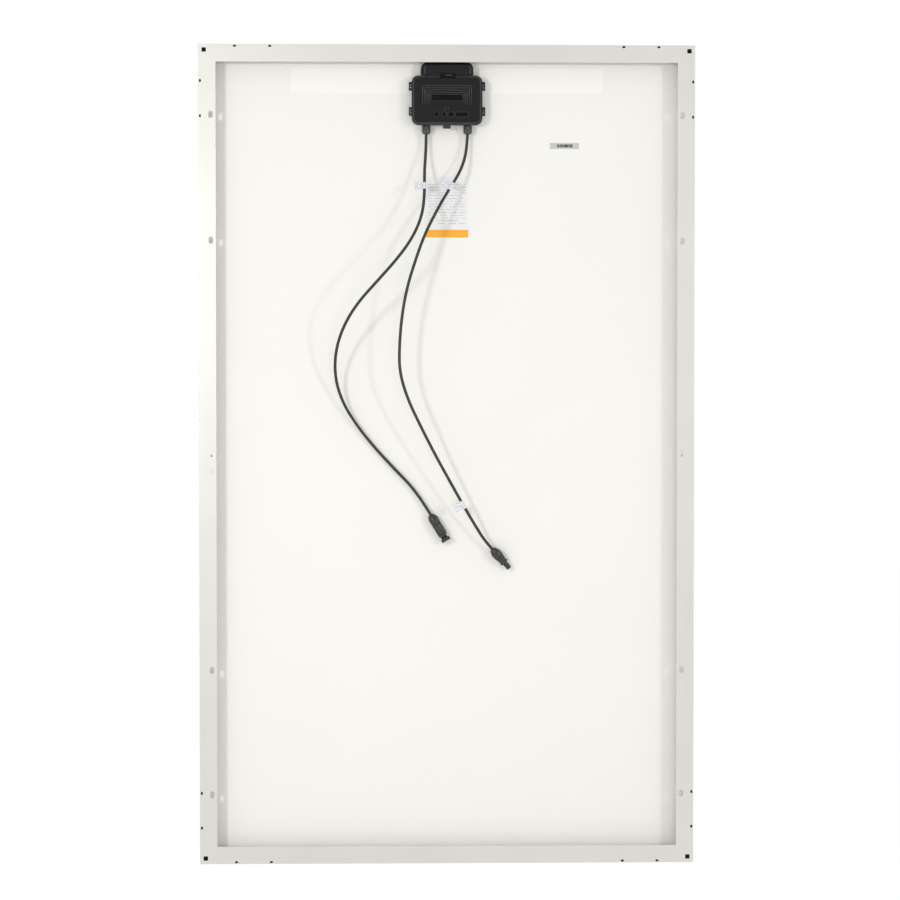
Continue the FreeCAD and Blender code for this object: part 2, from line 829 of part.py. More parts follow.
def build_laminate():
    strings = [cell_string(number) for number in range(STRINGS)]
    for number in range(STRINGS):
        tabbing_ribbons(number)
    buses = bus_ribbons()
    leads = lead_out_ribbons()
    keep(plate("front_glass", laminate_width, laminate_height, size("glass_thickness"), z=glass_front))
    strip = keep(plate("insulation_strip", size("strip_width"), size("strip_height"),
                       size("strip_thickness"), 0, top_edge - size("strip_drop"),
                       cell_front + inner_lead_front - size("strip_thickness")))

    front_grooves = []
    rear_grooves = []
    bottom = bottom_row() - size("bus_width") / 2
    ribbon = size("ribbon_width")
    cells_top = cell_y(CELLS_PER_STRING - 1) + cell_height / 2
    cells_bottom = cell_y(0) - cell_height / 2
    for string in range(STRINGS):
        top = top_row(string) + size("bus_width") / 2
        for line in range(RIBBONS_PER_CELL):
            x = cell_x(string) + ribbon_pitch * (line - (RIBBONS_PER_CELL - 1) / 2) - ribbon / 2
            name = f"{string + 1}_{line + 1}"
            front_end = cells_top + size("cell_gap") / 2 + size("ribbon_thickness") / 2
            front = box(f"front_groove_{name}", ribbon, front_end - cells_bottom, size("ribbon_thickness"))
            stand(front, x, cells_bottom, cell_front - size("ribbon_thickness"))
            front_grooves.append(front)
            rear = box(f"rear_groove_{name}", ribbon, top - bottom, bus_front)
            stand(rear, x, bottom, cell_front)
            rear_grooves.append(rear)
    front_sheet = plate("front_eva_sheet", laminate_width, laminate_height,
                        size("front_eva_thickness"), z=glass_rear)
    keep(cut("front_encapsulant", front_sheet, front_grooves))
    rear_sheet = plate("rear_eva_sheet", laminate_width, laminate_height, rear_eva_thickness, z=cell_front)
    keep(cut("rear_encapsulant", rear_sheet, strings + rear_grooves + [buses, leads, strip]))

    slits = []
    sheet_rear = plate("backsheet_film", laminate_width, laminate_height,
                       size("backsheet_thickness"), z=backsheet_front)
    for number in range(TERMINALS):
        slit = box(f"backsheet_slit_{number + 1}", size("lead_width") + 2, size("lead_thickness") + 1,
                   size("backsheet_thickness"))
        stand(slit, terminal_x(number) - size("lead_width") / 2 - 1,
              box_y + size("window_centre") - size("lead_thickness") - 0.5, backsheet_front)
        slits.append(slit)
    keep(cut("backsheet", sheet_rear, slits))

    groove = size("lip_thickness") - depth
    channel = plate("groove_space", width - size("rail_wall") * 2, height - size("rail_wall") * 2,
                    shelf_front - groove, z=groove)
    laminate = plate("laminate_space", laminate_width, laminate_height, backsheet_rear - glass_front,
                     z=glass_front)
    margin = size("lip_width") - size("seal_margin")
    opening = plate("seal_window", width - margin * 2, height - margin * 2, shelf_front - groove, z=groove)
    keep(cut("edge_seal", channel, [laminate, opening]))


# Junction box, drawn round the middle of its lid with z = 0 on the rear of the backsheet

adhesive = size("adhesive_thickness")
base_inset = size("lid_wall") + size("lid_clearance")
base_width = size("lid_width") - base_inset * 2
base_height = size("lid_height") - base_inset * 2
base_corner = size("lid_corner") - base_inset
rim = adhesive + size("base_depth")
floor_rear = adhesive + size("base_floor")
lid_ceiling = rim + size("rim_gap")
lid_rear = lid_ceiling + size("lid_roof")
lid_front = lid_rear - size("lid_skirt")
below_lid = lid_front - size("hump_gap")
terminal_seat = size("gland_axis_height") - size("conductor_radius") - size("terminal_thickness")
loop_hole_near = base_width / 2 + size("loop_reach") - size("loop_wall") - size("loop_hole_width")
loop_hole_middle = loop_hole_near + size("loop_hole_width") / 2


def stand_box_piece(piece, x=0, y=0, z=0):
    stand(piece, x, box_y + y, backsheet_rear + z)


def each_loop():
    """The centres of the four latch loops, as side and bench y."""
    for side in (1, -1):
        for end in (1, -1):
            yield side, size("loop_centre") + size("loop_pitch") / 2 * end


def jbox_adhesive():
    """A bead of silicone under the edge of the box and its hump."""
    inset = size("adhesive_inset")
    bead = size("adhesive_width")
    body = new_body("jbox_adhesive")
    main = sketch_on(body, "main", "XY_Plane")
    draw_rectangle(main, base_width - (base_corner + inset) * 2, base_height - inset * 2)
    draw_rectangle(main, base_width - (base_corner + inset + bead) * 2, base_height - (inset + bead) * 2)
    pad(body, main, adhesive)
    hump = sketch_on(body, "hump", "XY_Plane")
    low = base_height / 2 - inset - bead
    high = base_height / 2 + size("hump_reach") - inset
    middle = (low + high) / 2
    draw_rectangle(hump, size("hump_width") - (size("hump_corner") + inset) * 2, high - low, 0, middle)
    draw_rectangle(hump, size("hump_width") - (size("hump_corner") + inset + bead) * 2,
                   high - low - bead * 2, 0, middle)
    pad(body, hump, adhesive)
    stand_box_piece(body)
    return keep(body)


def jbox_base():
    """The moulded tray with its hump, gland stubs, latch loops and terminal bosses."""
    wall = size("base_wall")
    body = new_body("jbox_base")
    tray = sketch_on(body, "tray", "XY_Plane", adhesive)
    draw_rounded_rectangle(tray, base_width, base_height, base_corner)
    pad(body, tray, size("base_depth"))

    hump = sketch_on(body, "hump", "XY_Plane", adhesive)
    root = size("hump_corner") * 2
    hump_height = size("hump_reach") + root
    hump_y = base_height / 2 - root + hump_height / 2
    draw_rounded_rectangle(hump, size("hump_width"), hump_height, size("hump_corner"), 0, hump_y)
    pad(body, hump, below_lid - adhesive)

    ribs = sketch_on(body, "ribs", "XY_Plane", below_lid)
    rib_y = base_height / 2 + size("hump_reach") - size("hump_rib_length") / 2 - wall * 2
    for side in (1, -1):
        draw_rectangle(ribs, size("hump_rib_width"), size("hump_rib_length"),
                       size("hump_rib_spacing") / 2 * side, rib_y)
    pad(body, ribs, size("hump_rib_rise"))

    loops = sketch_on(body, "loops", "XY_Plane", below_lid - size("loop_depth"))
    for side, y in each_loop():
        reach = size("loop_reach") + wall / 2
        x = (base_width / 2 + size("loop_reach") - reach / 2) * side
        draw_rectangle(loops, reach, size("loop_height"), x, y)
    pad(body, loops, size("loop_depth"))

    stubs = sketch_on(body, "stubs", "XZ_Plane", base_height / 2 - wall)
    for side in (1, -1):
        draw_circle(stubs, size("gland_stub_radius"), size("gland_spacing") / 2 * side,
                    size("gland_axis_height"))
    pad(body, stubs, wall + size("gland_stub_length"))

    cavity = sketch_on(body, "cavity", "XY_Plane", rim)
    draw_rounded_rectangle(cavity, base_width - wall * 2, base_height - wall * 2, base_corner - wall)
    pocket(body, cavity, size("base_depth") - size("base_floor"))

    hollow = sketch_on(body, "hump_hollow", "XY_Plane", adhesive)
    hollow_height = size("hump_reach") - wall
    draw_rounded_rectangle(hollow, size("hump_width") - wall * 2, hollow_height,
                           size("hump_corner") - wall, 0, base_height / 2 + hollow_height / 2)
    pocket(body, hollow, below_lid - adhesive - wall, along_normal=True)

    eyes = sketch_on(body, "loop_holes", "XY_Plane", below_lid)
    for side, y in each_loop():
        draw_rectangle(eyes, size("loop_hole_width"), size("loop_hole_height"), loop_hole_middle * side, y)
    pocket(body, eyes, size("loop_depth"))

    bores = sketch_on(body, "stub_bores", "XZ_Plane", base_height / 2 - wall - 1)
    for side in (1, -1):
        draw_circle(bores, size("gland_seal_radius") + size("gland_fit"),
                    size("gland_spacing") / 2 * side, size("gland_axis_height"))
    pocket(body, bores, wall + size("gland_stub_length") + 2, along_normal=True)

    window = sketch_on(body, "window", "XY_Plane", floor_rear)
    window_width = size("terminal_pitch") * (TERMINALS - 1) + size("lead_width")
    draw_rectangle(window, window_width + size("window_margin") * 2, size("window_height"),
                   0, size("window_centre"))
    pocket(body, window, size("base_floor"))

    bosses = sketch_on(body, "bosses", "XY_Plane", floor_rear)
    margin = size("boss_margin") * 2
    for number in range(TERMINALS):
        draw_rectangle(bosses, size("terminal_width") - margin, size("terminal_length") - margin,
                       terminal_x(number), size("terminal_centre"))
    pad(body, bosses, terminal_seat - floor_rear)
    stand_box_piece(body)
    return keep(body)


def jbox_lid():
    """The snap-on lid, with a prong for each latch loop and a tab to pull it off by."""
    body = new_body("jbox_lid")
    shell = sketch_on(body, "shell", "XY_Plane", lid_front)
    draw_rounded_rectangle(shell, size("lid_width"), size("lid_height"), size("lid_corner"))
    pad(body, shell, size("lid_skirt"))

    plateau = sketch_on(body, "plateau", "XY_Plane", lid_rear)
    border = size("plateau_border") * 2
    draw_rounded_rectangle(plateau, size("lid_width") - border, size("lid_height") - border,
                           size("plateau_corner"))
    pad(body, plateau, size("plateau_rise"))

    tabs = sketch_on(body, "tabs", "XY_Plane", lid_front)
    inner = size("lid_width") / 2 - size("lid_wall")
    outer = loop_hole_near + size("loop_hole_width") - size("prong_clearance")
    for side, y in each_loop():
        draw_rectangle(tabs, outer - inner, size("prong_height"), (inner + outer) / 2 * side, y)
    pad(body, tabs, size("prong_bridge"))

    pull = sketch_on(body, "pull_tab", "XY_Plane", lid_front)
    pull_height = size("pull_tab_reach") + size("lid_wall")
    draw_rectangle(pull, size("pull_tab_width"), pull_height, 0,
                   pull_height / 2 - size("lid_height") / 2 - size("pull_tab_reach"))
    pad(body, pull, size("pull_tab_thickness"))

    prongs = sketch_on(body, "prongs", "XY_Plane", lid_front)
    for side, y in each_loop():
        draw_rectangle(prongs, size("loop_hole_width") - size("prong_clearance") * 2,
                       size("prong_height"), loop_hole_middle * side, y)
    pad(body, prongs, size("prong_length")).Reversed = True

    inside = sketch_on(body, "inside", "XY_Plane", lid_front)
    wall = size("lid_wall") * 2
    draw_rounded_rectangle(inside, size("lid_width") - wall, size("lid_height") - wall,
                           size("lid_corner") - size("lid_wall"))
    pocket(body, inside, lid_ceiling - lid_front, along_normal=True)

    groove = sketch_on(body, "gasket_groove", "XY_Plane", lid_ceiling)
    draw_gasket(groove)
    pocket(body, groove, size("gasket_groove"), along_normal=True)

    panel = sketch_on(body, "panel", "XY_Plane", lid_rear + size("plateau_rise"))
    draw_rectangle(panel, size("panel_width"), size("panel_height"), 0, size("panel_centre"))
    pocket(body, panel, size("panel_recess"))
    stand_box_piece(body)
    return keep(body)


def draw_gasket(sketch):
    """The ring over the rim of the tray, which the lid's groove also follows."""
    outer = size("gasket_inset")
    inner = outer + size("gasket_width")
    for inset in (outer, inner):
        draw_rounded_rectangle(sketch, base_width - inset * 2, base_height - inset * 2,
                               base_corner - inset)


def lid_gasket():
    body = new_body("lid_gasket")
    ring = sketch_on(body, "ring", "XY_Plane", rim + size("gasket_gap"))
    draw_gasket(ring)
    pad(body, ring, size("rim_gap") + size("gasket_groove") - size("gasket_gap"))
    stand_box_piece(body)
    return keep(body)


def terminal(number):
    """A tinned copper plate on its boss."""
    piece = box(f"terminal_{number + 1}", size("terminal_width"), size("terminal_length"),
                size("terminal_thickness"))
    stand_box_piece(piece, terminal_x(number) - size("terminal_width") / 2,
                    size("terminal_centre") - size("terminal_length") / 2, terminal_seat)
    return keep(piece)


def bypass_diode(number):
    """A diode whose leads bridge two neighbouring terminals."""
    body = new_body(f"bypass_diode_{number + 1}")
    half = (size("terminal_pitch") - size("terminal_width")) / 2 - size("diode_end_gap")
    reach = half + size("diode_end_gap") + size("diode_lead_overlap")
    thin = size("diode_lead_radius")
    profile = sketch_on(body, "profile", "XY_Plane")
    draw_polygon(profile, [
        (0, -reach), (thin, -reach), (thin, -half), (size("diode_radius"), -half),
        (size("diode_radius"), half), (thin, half), (thin, reach), (0, reach),
    ])
    revolve(body, profile)
    x = terminal_x(number) + size("terminal_pitch") / 2
    axis = terminal_seat + size("terminal_thickness") + thin
    stand(body, x, box_y + size("diode_row"), backsheet_rear + axis, 90)
    return keep(body)


# Pieces turned about a line: drawn with the line along z, then aimed


def aim(piece, point, direction):
    """Set a piece at a point of the part frame with its z axis along a direction."""
    x, y, z = (length(value) for value in point)
    piece.Placement = Placement(Vector(x.value, y.value, z.value), Rotation(Vector(0, 0, 1), direction))
    piece.setExpression("Placement.Base.x", x.formula)
    piece.setExpression("Placement.Base.y", y.formula)
    piece.setExpression("Placement.Base.z", z.formula)
    return keep(piece)


def turned(label, outline):
    """A body turned from an outline of radius and distance along z."""
    body = new_body(label)
    profile = sketch_on(body, "profile", "XZ_Plane")
    draw_polygon(profile, outline)
    revolve(body, profile)
    doc.recompute()
    return body


DOWN = Vector(0, 0, -1)
gland_face = box_y - base_height / 2
gland_y = -(backsheet_rear + size("gland_axis_height"))
cable = size("cable_radius")
sleeve = cable + size("cable_clearance")


def flute(body, radius, flute_length, count):
    """Cut grip flutes round a turned piece, from its z = 0 end."""
    sketch = sketch_on(body, "flutes", "XY_Plane")
    draw_circle(sketch, size("flute_radius"), radius + size("flute_radius") / 3, 0)
    groove = pocket(body, sketch, flute_length, along_normal=True)
    repeat_round(body, groove, sketch, count)


def gland(side, x):
    """A cable gland's cap nut, its rubber seal and the bared conductor behind it."""
    thread = size("gland_stub_radius") + size("gland_fit")
    step = size("gland_stub_length") - size("gland_nut_start") + size("gland_fit") * 2
    long = size("gland_nut_length")
    outer = size("gland_nut_radius")
    curve = size("gland_nut_round")
    nut = turned(f"gland_nut_{side}", [
        (thread, 0), (outer, 0), (outer, long), (sleeve, long), (sleeve, step), (thread, step),
    ])
    turned_piece = nut.Tip
    edges = []
    for number, edge in enumerate(turned_piece.Shape.Edges, start=1):
        box_of_edge = edge.BoundBox
        if edge.Curve.TypeId == "Part::GeomCircle" and abs(box_of_edge.ZMin - long.value) < 1e-6:
            if abs(edge.Curve.Radius - outer.value) < 1e-6:
                edges.append(f"Edge{number}")
    rounding = nut.newObject("PartDesign::Fillet", nut.Label + "_round")
    rounding.Base = (turned_piece, edges)
    rounding.setExpression("Radius", curve.formula)
    flute(nut, outer, long - curve, size("gland_flutes"))
    aim(nut, (x, gland_y, gland_face - size("gland_nut_start")), DOWN)

    seal_ring = turned(f"gland_seal_{side}", [
        (cable, 0), (size("gland_seal_radius"), 0),
        (size("gland_seal_radius"), size("gland_seal_length")), (cable, size("gland_seal_length")),
    ])
    seal_start = size("gland_stub_length") - size("gland_seal_length")
    aim(seal_ring, (x, gland_y, gland_face - seal_start), DOWN)

    core = doc.addObject("Part::Cylinder", f"conductor_{side}")
    core.Label = f"conductor_{side}"
    core.setExpression("Radius", size("conductor_radius").formula)
    core.setExpression("Height", size("conductor_tail").formula)
    aim(core, (x, gland_y, gland_face + size("base_wall") + size("cable_inside_box")), Vector(0, 0, 1))


def cable_path(points):
    """Straight runs joined by the largest arcs that they allow, with the arcs' radii."""
    edges = []
    radii = []
    start = points[0]
    for before, corner, after in zip(points, points[1:], points[2:]):
        run_in = (corner - before).normalize()
        run_out = (after - corner).normalize()
        half_turn = run_in.getAngle(run_out) / 2
        reach = 0.45 * min((corner - before).Length, (after - corner).Length)
        radius = reach / math.tan(half_turn)
        inward = (run_out - run_in).normalize()
        middle = corner + inward * (radius / math.cos(half_turn) - radius)
        enter = corner - run_in * reach
        leave = corner + run_out * reach
        edges.append(Part.LineSegment(start, enter).toShape())
        edges.append(Part.Arc(enter, middle, leave).toShape())
        radii.append(radius)
        start = leave
    edges.append(Part.LineSegment(start, points[-1]).toShape())
    return Part.Wire(edges), radii


def cable_jacket(label, points):
    """A cable as one tube along its route."""
    radius = cable.value
    path, radii = cable_path(points)
    ring = Part.Circle(points[0], points[1] - points[0], radius).toShape()
    tube = path.makePipeShell([Part.Wire([ring])], True, False)
    piece = doc.addObject("Part::Feature", label)
    piece.Label = label
    piece.Shape = tube
    expected = math.pi * radius ** 2 * path.Length
    runs = [round((b - a).Length) for a, b in zip(points, points[1:])]
    print(f"{label}: length {path.Length:.1f}, volume {tube.Volume / expected:.4f} of its section's")
    print(f"  runs {runs}")
    print(f"  radii {[round(value) for value in radii]}")
    keep(piece)
    return path


def plug_nut(side, start, direction):
    """The cap nut at the cable end of a plug, with the seal inside it."""
    mouth = size("plug_mouth_depth")
    bore = size("plug_seal_radius") + size("plug_fit")
    thread = size("plug_thread_radius") + size("plug_fit")
    long = size("plug_nut_length")
    thread_start = long - size("plug_thread_length") - size("plug_fit") * 2
    nut = turned(f"plug_nut_{side}", [
        (sleeve, 0), (size("plug_nut_mouth"), 0), (size("plug_nut_radius"), size("plug_nut_taper")),
        (size("plug_nut_radius"), long), (thread, long), (thread, thread_start),
        (bore, thread_start), (bore, mouth), (sleeve, mouth),
    ])
    aim(nut, start, direction)
    ring = size("plug_seal_radius")
    seal_long = size("plug_seal_length")
    seal_ring = turned(f"plug_seal_{side}", [(cable, 0), (ring, 0), (ring, seal_long), (cable, seal_long)])
    aim(seal_ring, offset_point(start, direction, mouth + size("plug_fit")), direction)


def offset_point(start, direction, distance):
    """The point this far along a direction from another."""
    return tuple(length(value) + distance * step for value, step in zip(start, direction))


contact_start = size("cable_inside_plug")
shoulder_start = contact_start + size("contact_crimp_length")
shoulder_end = shoulder_start + size("contact_shoulder_length")
thread_base = size("plug_nut_length") - size("plug_thread_length")
body_start = size("plug_nut_length") + size("plug_fit")


def pin_plug(side, start, direction):
    """The plug with a guarded pin contact, an open mouth and two locking arms."""
    plug_nut(side, start, direction)
    crimp_bore = size("contact_shoulder_radius") + size("contact_fit")
    pin_bore = size("pin_radius") + size("contact_fit")
    front = body_start + size("pin_housing_length")
    cavity = front - size("pin_cavity_depth")
    guard_end = front + size("pin_guard_reach")
    inner = size("pin_housing_radius") - size("plug_wall")
    housing = turned(f"plug_housing_{side}", [
        (crimp_bore, thread_base), (size("plug_thread_radius"), thread_base),
        (size("plug_thread_radius"), body_start), (size("pin_collar_radius"), body_start),
        (size("pin_collar_radius"), body_start + size("pin_collar_length")),
        (size("pin_housing_radius"), body_start + size("pin_collar_length")),
        (size("pin_housing_radius"), front), (inner, front), (inner, cavity),
        (size("pin_guard_radius"), cavity), (size("pin_guard_radius"), guard_end),
        (size("pin_guard_bore"), guard_end), (size("pin_guard_bore"), cavity),
        (pin_bore, cavity), (pin_bore, shoulder_end), (crimp_bore, shoulder_end),
    ])
    arms = sketch_on(housing, "arms", "XZ_Plane")
    tip = front + size("arm_reach")
    reach = size("pin_housing_radius") - size("arm_inset")
    notch = size("arm_notch")
    thick = size("arm_thickness")
    hook = tip - size("arm_hook_length")
    for arm in (1, -1):
        draw_polygon(arms, [
            ((reach - thick) * arm, front - notch), (reach * arm, front - notch), (reach * arm, front),
            ((reach - notch) * arm, front + notch), ((reach - notch) * arm, hook - notch),
            (reach * arm, hook), (reach * arm, tip), ((reach - thick) * arm, tip),
            ((reach - notch - thick) * arm, hook), ((reach - notch - thick) * arm, front + notch),
            ((reach - thick) * arm, front),
        ])
    pad(housing, arms, size("arm_width"), both_ways=True)
    aim(housing, start, direction)

    radius = size("pin_radius")
    crimp = size("contact_crimp_radius")
    shoulder = size("contact_shoulder_radius")
    pin_end = shoulder_end + size("pin_length")
    contact = turned(f"plug_contact_{side}", [
        (0, contact_start), (crimp, contact_start), (crimp, shoulder_start), (shoulder, shoulder_start),
        (shoulder, shoulder_end), (radius, shoulder_end), (radius, pin_end - radius / 2),
        (radius / 2, pin_end), (0, pin_end),
    ])
    aim(contact, start, direction)


def socket_plug(side, start, direction):
    """The plug with a socket contact inside a narrow nose, and a latch for each arm."""
    plug_nut(side, start, direction)
    crimp_bore = size("contact_shoulder_radius") + size("contact_fit")
    socket_bore = size("socket_radius") + size("contact_fit")
    collar_end = body_start + size("socket_collar_length")
    nose_end = collar_end + size("socket_nose_length")
    housing = turned(f"plug_housing_{side}", [
        (crimp_bore, thread_base), (size("plug_thread_radius"), thread_base),
        (size("plug_thread_radius"), body_start), (size("socket_collar_radius"), body_start),
        (size("socket_shoulder_radius"), collar_end), (size("socket_nose_radius"), collar_end),
        (size("socket_nose_radius"), nose_end), (socket_bore, nose_end),
        (socket_bore, shoulder_end), (crimp_bore, shoulder_end),
    ])
    latches = sketch_on(housing, "latches", "XZ_Plane")
    root = size("latch_root")
    reach = size("latch_reach")
    for latch in (1, -1):
        draw_polygon(latches, [
            (root * latch, collar_end - size("latch_length")),
            (reach * latch, collar_end - size("latch_land")),
            (reach * latch, collar_end), (root * latch, collar_end),
        ])
    pad(housing, latches, size("latch_width"), both_ways=True)
    aim(housing, start, direction)

    radius = size("socket_radius")
    crimp = size("contact_crimp_radius")
    shoulder = size("contact_shoulder_radius")
    end = shoulder_end + size("socket_length")
    bore = size("socket_bore_radius")
    bottom = end - size("socket_bore_depth")
    contact = turned(f"plug_contact_{side}", [
        (0, contact_start), (crimp, contact_start), (crimp, shoulder_start), (shoulder, shoulder_start),
        (shoulder, shoulder_end), (radius, shoulder_end), (radius, end), (bore, end), (bore, bottom),
        (0, bottom),
    ])
    aim(contact, start, direction)


def cable_tag(label, path, distance, flag_side):
    """A paper tag wrapped round a cable this far along it, with its flag to one side."""
    outer = sleeve + size("tag_wall")
    body = new_body(label)
    wrap = sketch_on(body, "wrap", "XY_Plane", -size("tag_length") / 2)
    draw_circle(wrap, outer)
    draw_circle(wrap, sleeve)
    pad(body, wrap, size("tag_length"))
    flag = sketch_on(body, "flag", "XY_Plane", -size("tag_length") / 2)
    root = sleeve + size("tag_wall") / 2
    draw_rectangle(flag, size("tag_flag"), size("tag_wall"), root + size("tag_flag") / 2, 0)
    pad(body, flag, size("tag_length"))
    point, run = place_along(path, distance.value)
    across = Vector(flag_side, 0, 0)
    body.Placement = Placement(point, Rotation(across, Vector(), run, "ZXY"))
    return keep(body)


def place_along(path, distance):
    """The point and direction this far along a cable's path."""
    for edge in path.OrderedEdges:
        if distance <= edge.Length:
            position = edge.getParameterByLength(distance)
            return edge.valueAt(position), edge.tangentAt(position)
        distance -= edge.Length
    raise ValueError("The path is shorter than that")


def build_junction_box():
    jbox_adhesive()
    jbox_base()
    jbox_lid()
    lid_gasket()
    for number in range(TERMINALS):
        terminal(number)
    for number in range(TERMINALS - 1):
        bypass_diode(number)


def build_cables():
    half = size("gland_spacing") / 2
    sides = (
        ("left", -half, LEFT_ROUTE, pin_plug),
        ("right", half, RIGHT_ROUTE, socket_plug),
    )
    inside = gland_face + size("base_wall") + size("cable_inside_box")
    mouth = gland_face - size("gland_nut_start") - size("gland_nut_length")
    below = mouth - size("cable_straight")
    paths = {}
    for side, x, route, plug in sides:
        gland(side, x)
        points = [Vector(x.value, gland_y.value, inside.value), Vector(x.value, gland_y.value, below.value)]
        points += [Vector(x, y, box_y.value + z) for x, y, z in route]
        plug_start = points[-1]
        direction = (plug_start - points[-2]).normalize()
        points[-1] = points[-1] + direction * size("cable_inside_plug").value
        paths[side] = cable_jacket(f"cable_{side}", points)
        plug(side, plug_start, direction)
    cable_tag("cable_tag_left", paths["left"], size("left_tag_distance"), -1)
    cable_tag("cable_tag_right_upper", paths["right"], size("right_upper_tag_distance"), -1)
    cable_tag("cable_tag_right_lower", paths["right"], size("right_lower_tag_distance"), -1)


def build_labels():
    thin = size("label_thickness")
    keep(plate("rating_label", size("rating_label_width"), size("rating_label_height"), thin,
               0, top_edge - size("rating_label_drop"), backsheet_rear))
    keep(plate("serial_label", size("serial_label_width"), size("serial_label_height"), thin,
               size("serial_label_x"), top_edge - size("serial_label_drop"), backsheet_rear))


def write_parts():
    """Check every object, then write each finished piece to a file of its own."""
    doc.recompute()
    for item in doc.Objects:
        if "Invalid" in item.State or "Error" in item.State:
            raise RuntimeError(f"{item.Label} failed: {item.State}")
    for piece in nodes:
        if piece.Shape.isNull() or not piece.Shape.isValid():
            raise RuntimeError(f"{piece.Label} has no valid shape")
    os.makedirs("parts", exist_ok=True)
    for piece in nodes:
        piece.Shape.exportStep(os.path.join("parts", piece.Label + ".step"))
    print(len(nodes), "nodes")


build_frame()
build_laminate()
build_junction_box()
build_cables()
build_labels()
write_parts()
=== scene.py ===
import math

import bpy
from mathutils import Matrix, Vector


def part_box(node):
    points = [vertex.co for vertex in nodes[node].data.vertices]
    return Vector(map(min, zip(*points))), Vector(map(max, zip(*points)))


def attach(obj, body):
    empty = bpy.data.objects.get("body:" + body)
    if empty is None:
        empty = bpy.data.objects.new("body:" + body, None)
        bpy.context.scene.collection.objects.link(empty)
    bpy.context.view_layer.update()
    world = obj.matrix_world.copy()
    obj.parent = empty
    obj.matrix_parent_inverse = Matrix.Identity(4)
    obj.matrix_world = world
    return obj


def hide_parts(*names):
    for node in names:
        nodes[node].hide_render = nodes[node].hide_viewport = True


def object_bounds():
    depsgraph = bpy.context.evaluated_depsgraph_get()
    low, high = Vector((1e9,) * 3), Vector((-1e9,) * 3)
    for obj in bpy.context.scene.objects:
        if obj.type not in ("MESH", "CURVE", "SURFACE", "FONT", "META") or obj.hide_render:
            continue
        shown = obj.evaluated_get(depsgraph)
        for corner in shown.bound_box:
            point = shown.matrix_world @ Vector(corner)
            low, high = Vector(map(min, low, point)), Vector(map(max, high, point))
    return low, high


# The back of a framed solar module with its junction box, two cables and a pair of
# coupling plugs. Lengths are in metres in the part frame: X to the right seen from
# behind, Z up, Y from the rear of the frame to its front glass.

MM = 0.001
BOX_MIDDLE = 711 * MM
CABLE_DIAMETER = 6 * MM
CORNER_PLUG_INSET = 11.7 * MM
EARTH_MARK_INSET = 25 * MM
PANEL_HALF_WIDTH = 31.6 * MM
PANEL_HALF_HEIGHT = 5.9 * MM
PANEL_MIDDLE = 4.6 * MM
PRONG_PLANE = 70.8 * MM
COLLAR_MIDDLE = 57.6 * MM
FLAG_LENGTH = 16 * MM
SOFT_ANGLE = math.radians(40)
CAMERA_PLACE = (-0.0554, -3.5, 0.0800)
CAMERA_AIM = (0.0057, 0, 0.0115)
CAMERA_LENS = 69.94
SOFTBOX_AIM = (0, 0, -0.5)

# Each cable's route, with z from the middle of the junction box, in millimetres.
LEFT_ROUTE = [
    (-41.6, 20.85, -40.35),
    (-41.6, 20.85, -90.15),
    (-45.5, 3.5, -143),
    (-45, -15, -190),
    (-50, -35, -236),
    (-70, -54, -283),
    (-101, -67, -326),
    (-140, -66, -369),
    (-179, -53, -411),
    (-208, -35, -458),
    (-223.5, -14, -508),
    (-224, 5, -558),
    (-209, 17, -606),
    (-182, 23, -650),
    (-147, 26, -694),
    (-109, 26.5, -735),
    (-72, 25.5, -773),
    (-48, 23.5, -806),
    (-32.7, 22.3, -831),
]
RIGHT_ROUTE = [
    (41.6, 20.85, -40.35),
    (41.6, 20.85, -90.15),
    (29, 6, -139),
    (1, -7, -184),
    (-23, -18, -227),
    (-46, -27, -274),
    (-64, -31, -325),
    (-80, -31, -377),
    (-90, -28.5, -431),
    (-95, -27.5, -487),
    (-95.5, -27, -543),
    (-78.5, -24.5, -599),
    (-52, -20.5, -654),
    (-25, -14, -707),
    (2.5, -8.5, -757),
    (31, -2.5, -808),
    (58, 7, -854),
    (76, 14.8, -882.5),
    (91.6, 17.5, -900),
]

# Where each plug piece has its grip ribs: from and to along the plug, radius and number.
PLUG_GRIPS = {
    "plug_nut_left": (LEFT_ROUTE, 8 * MM, 20 * MM, 9.2 * MM, 7),
    "plug_nut_right": (RIGHT_ROUTE, 8 * MM, 20 * MM, 9.2 * MM, 7),
    "plug_housing_left": (LEFT_ROUTE, 27.5 * MM, 44 * MM, 9 * MM, 7),
}

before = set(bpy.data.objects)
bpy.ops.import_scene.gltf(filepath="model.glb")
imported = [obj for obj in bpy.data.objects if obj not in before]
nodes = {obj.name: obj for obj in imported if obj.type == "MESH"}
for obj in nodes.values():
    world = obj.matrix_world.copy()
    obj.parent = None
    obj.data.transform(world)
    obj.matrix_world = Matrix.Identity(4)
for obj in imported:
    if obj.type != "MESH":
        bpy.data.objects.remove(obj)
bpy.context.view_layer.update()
scene = bpy.context.scene


# Camera, light and floor


def set_camera():
    """The camera behind the module, a little left of its middle and above it."""
    data = bpy.data.cameras.new("camera")
    data.lens = CAMERA_LENS
    data.sensor_width = 36
    camera = bpy.data.objects.new("camera", data)
    camera.location = CAMERA_PLACE
    aim = Vector(CAMERA_AIM) - camera.location
    camera.rotation_euler = aim.to_track_quat("-Z", "Y").to_euler()
    scene.collection.objects.link(camera)
    scene.camera = camera
    scene.view_settings.view_transform = "Standard"


def colour(code):
    """The linear colour of an sRGB hex code."""
    channels = [int(code[place:place + 2], 16) / 255 for place in (0, 2, 4)]
    return [c / 12.92 if c <= 0.04045 else ((c + 0.055) / 1.055) ** 2.4 for c in channels] + [1.0]


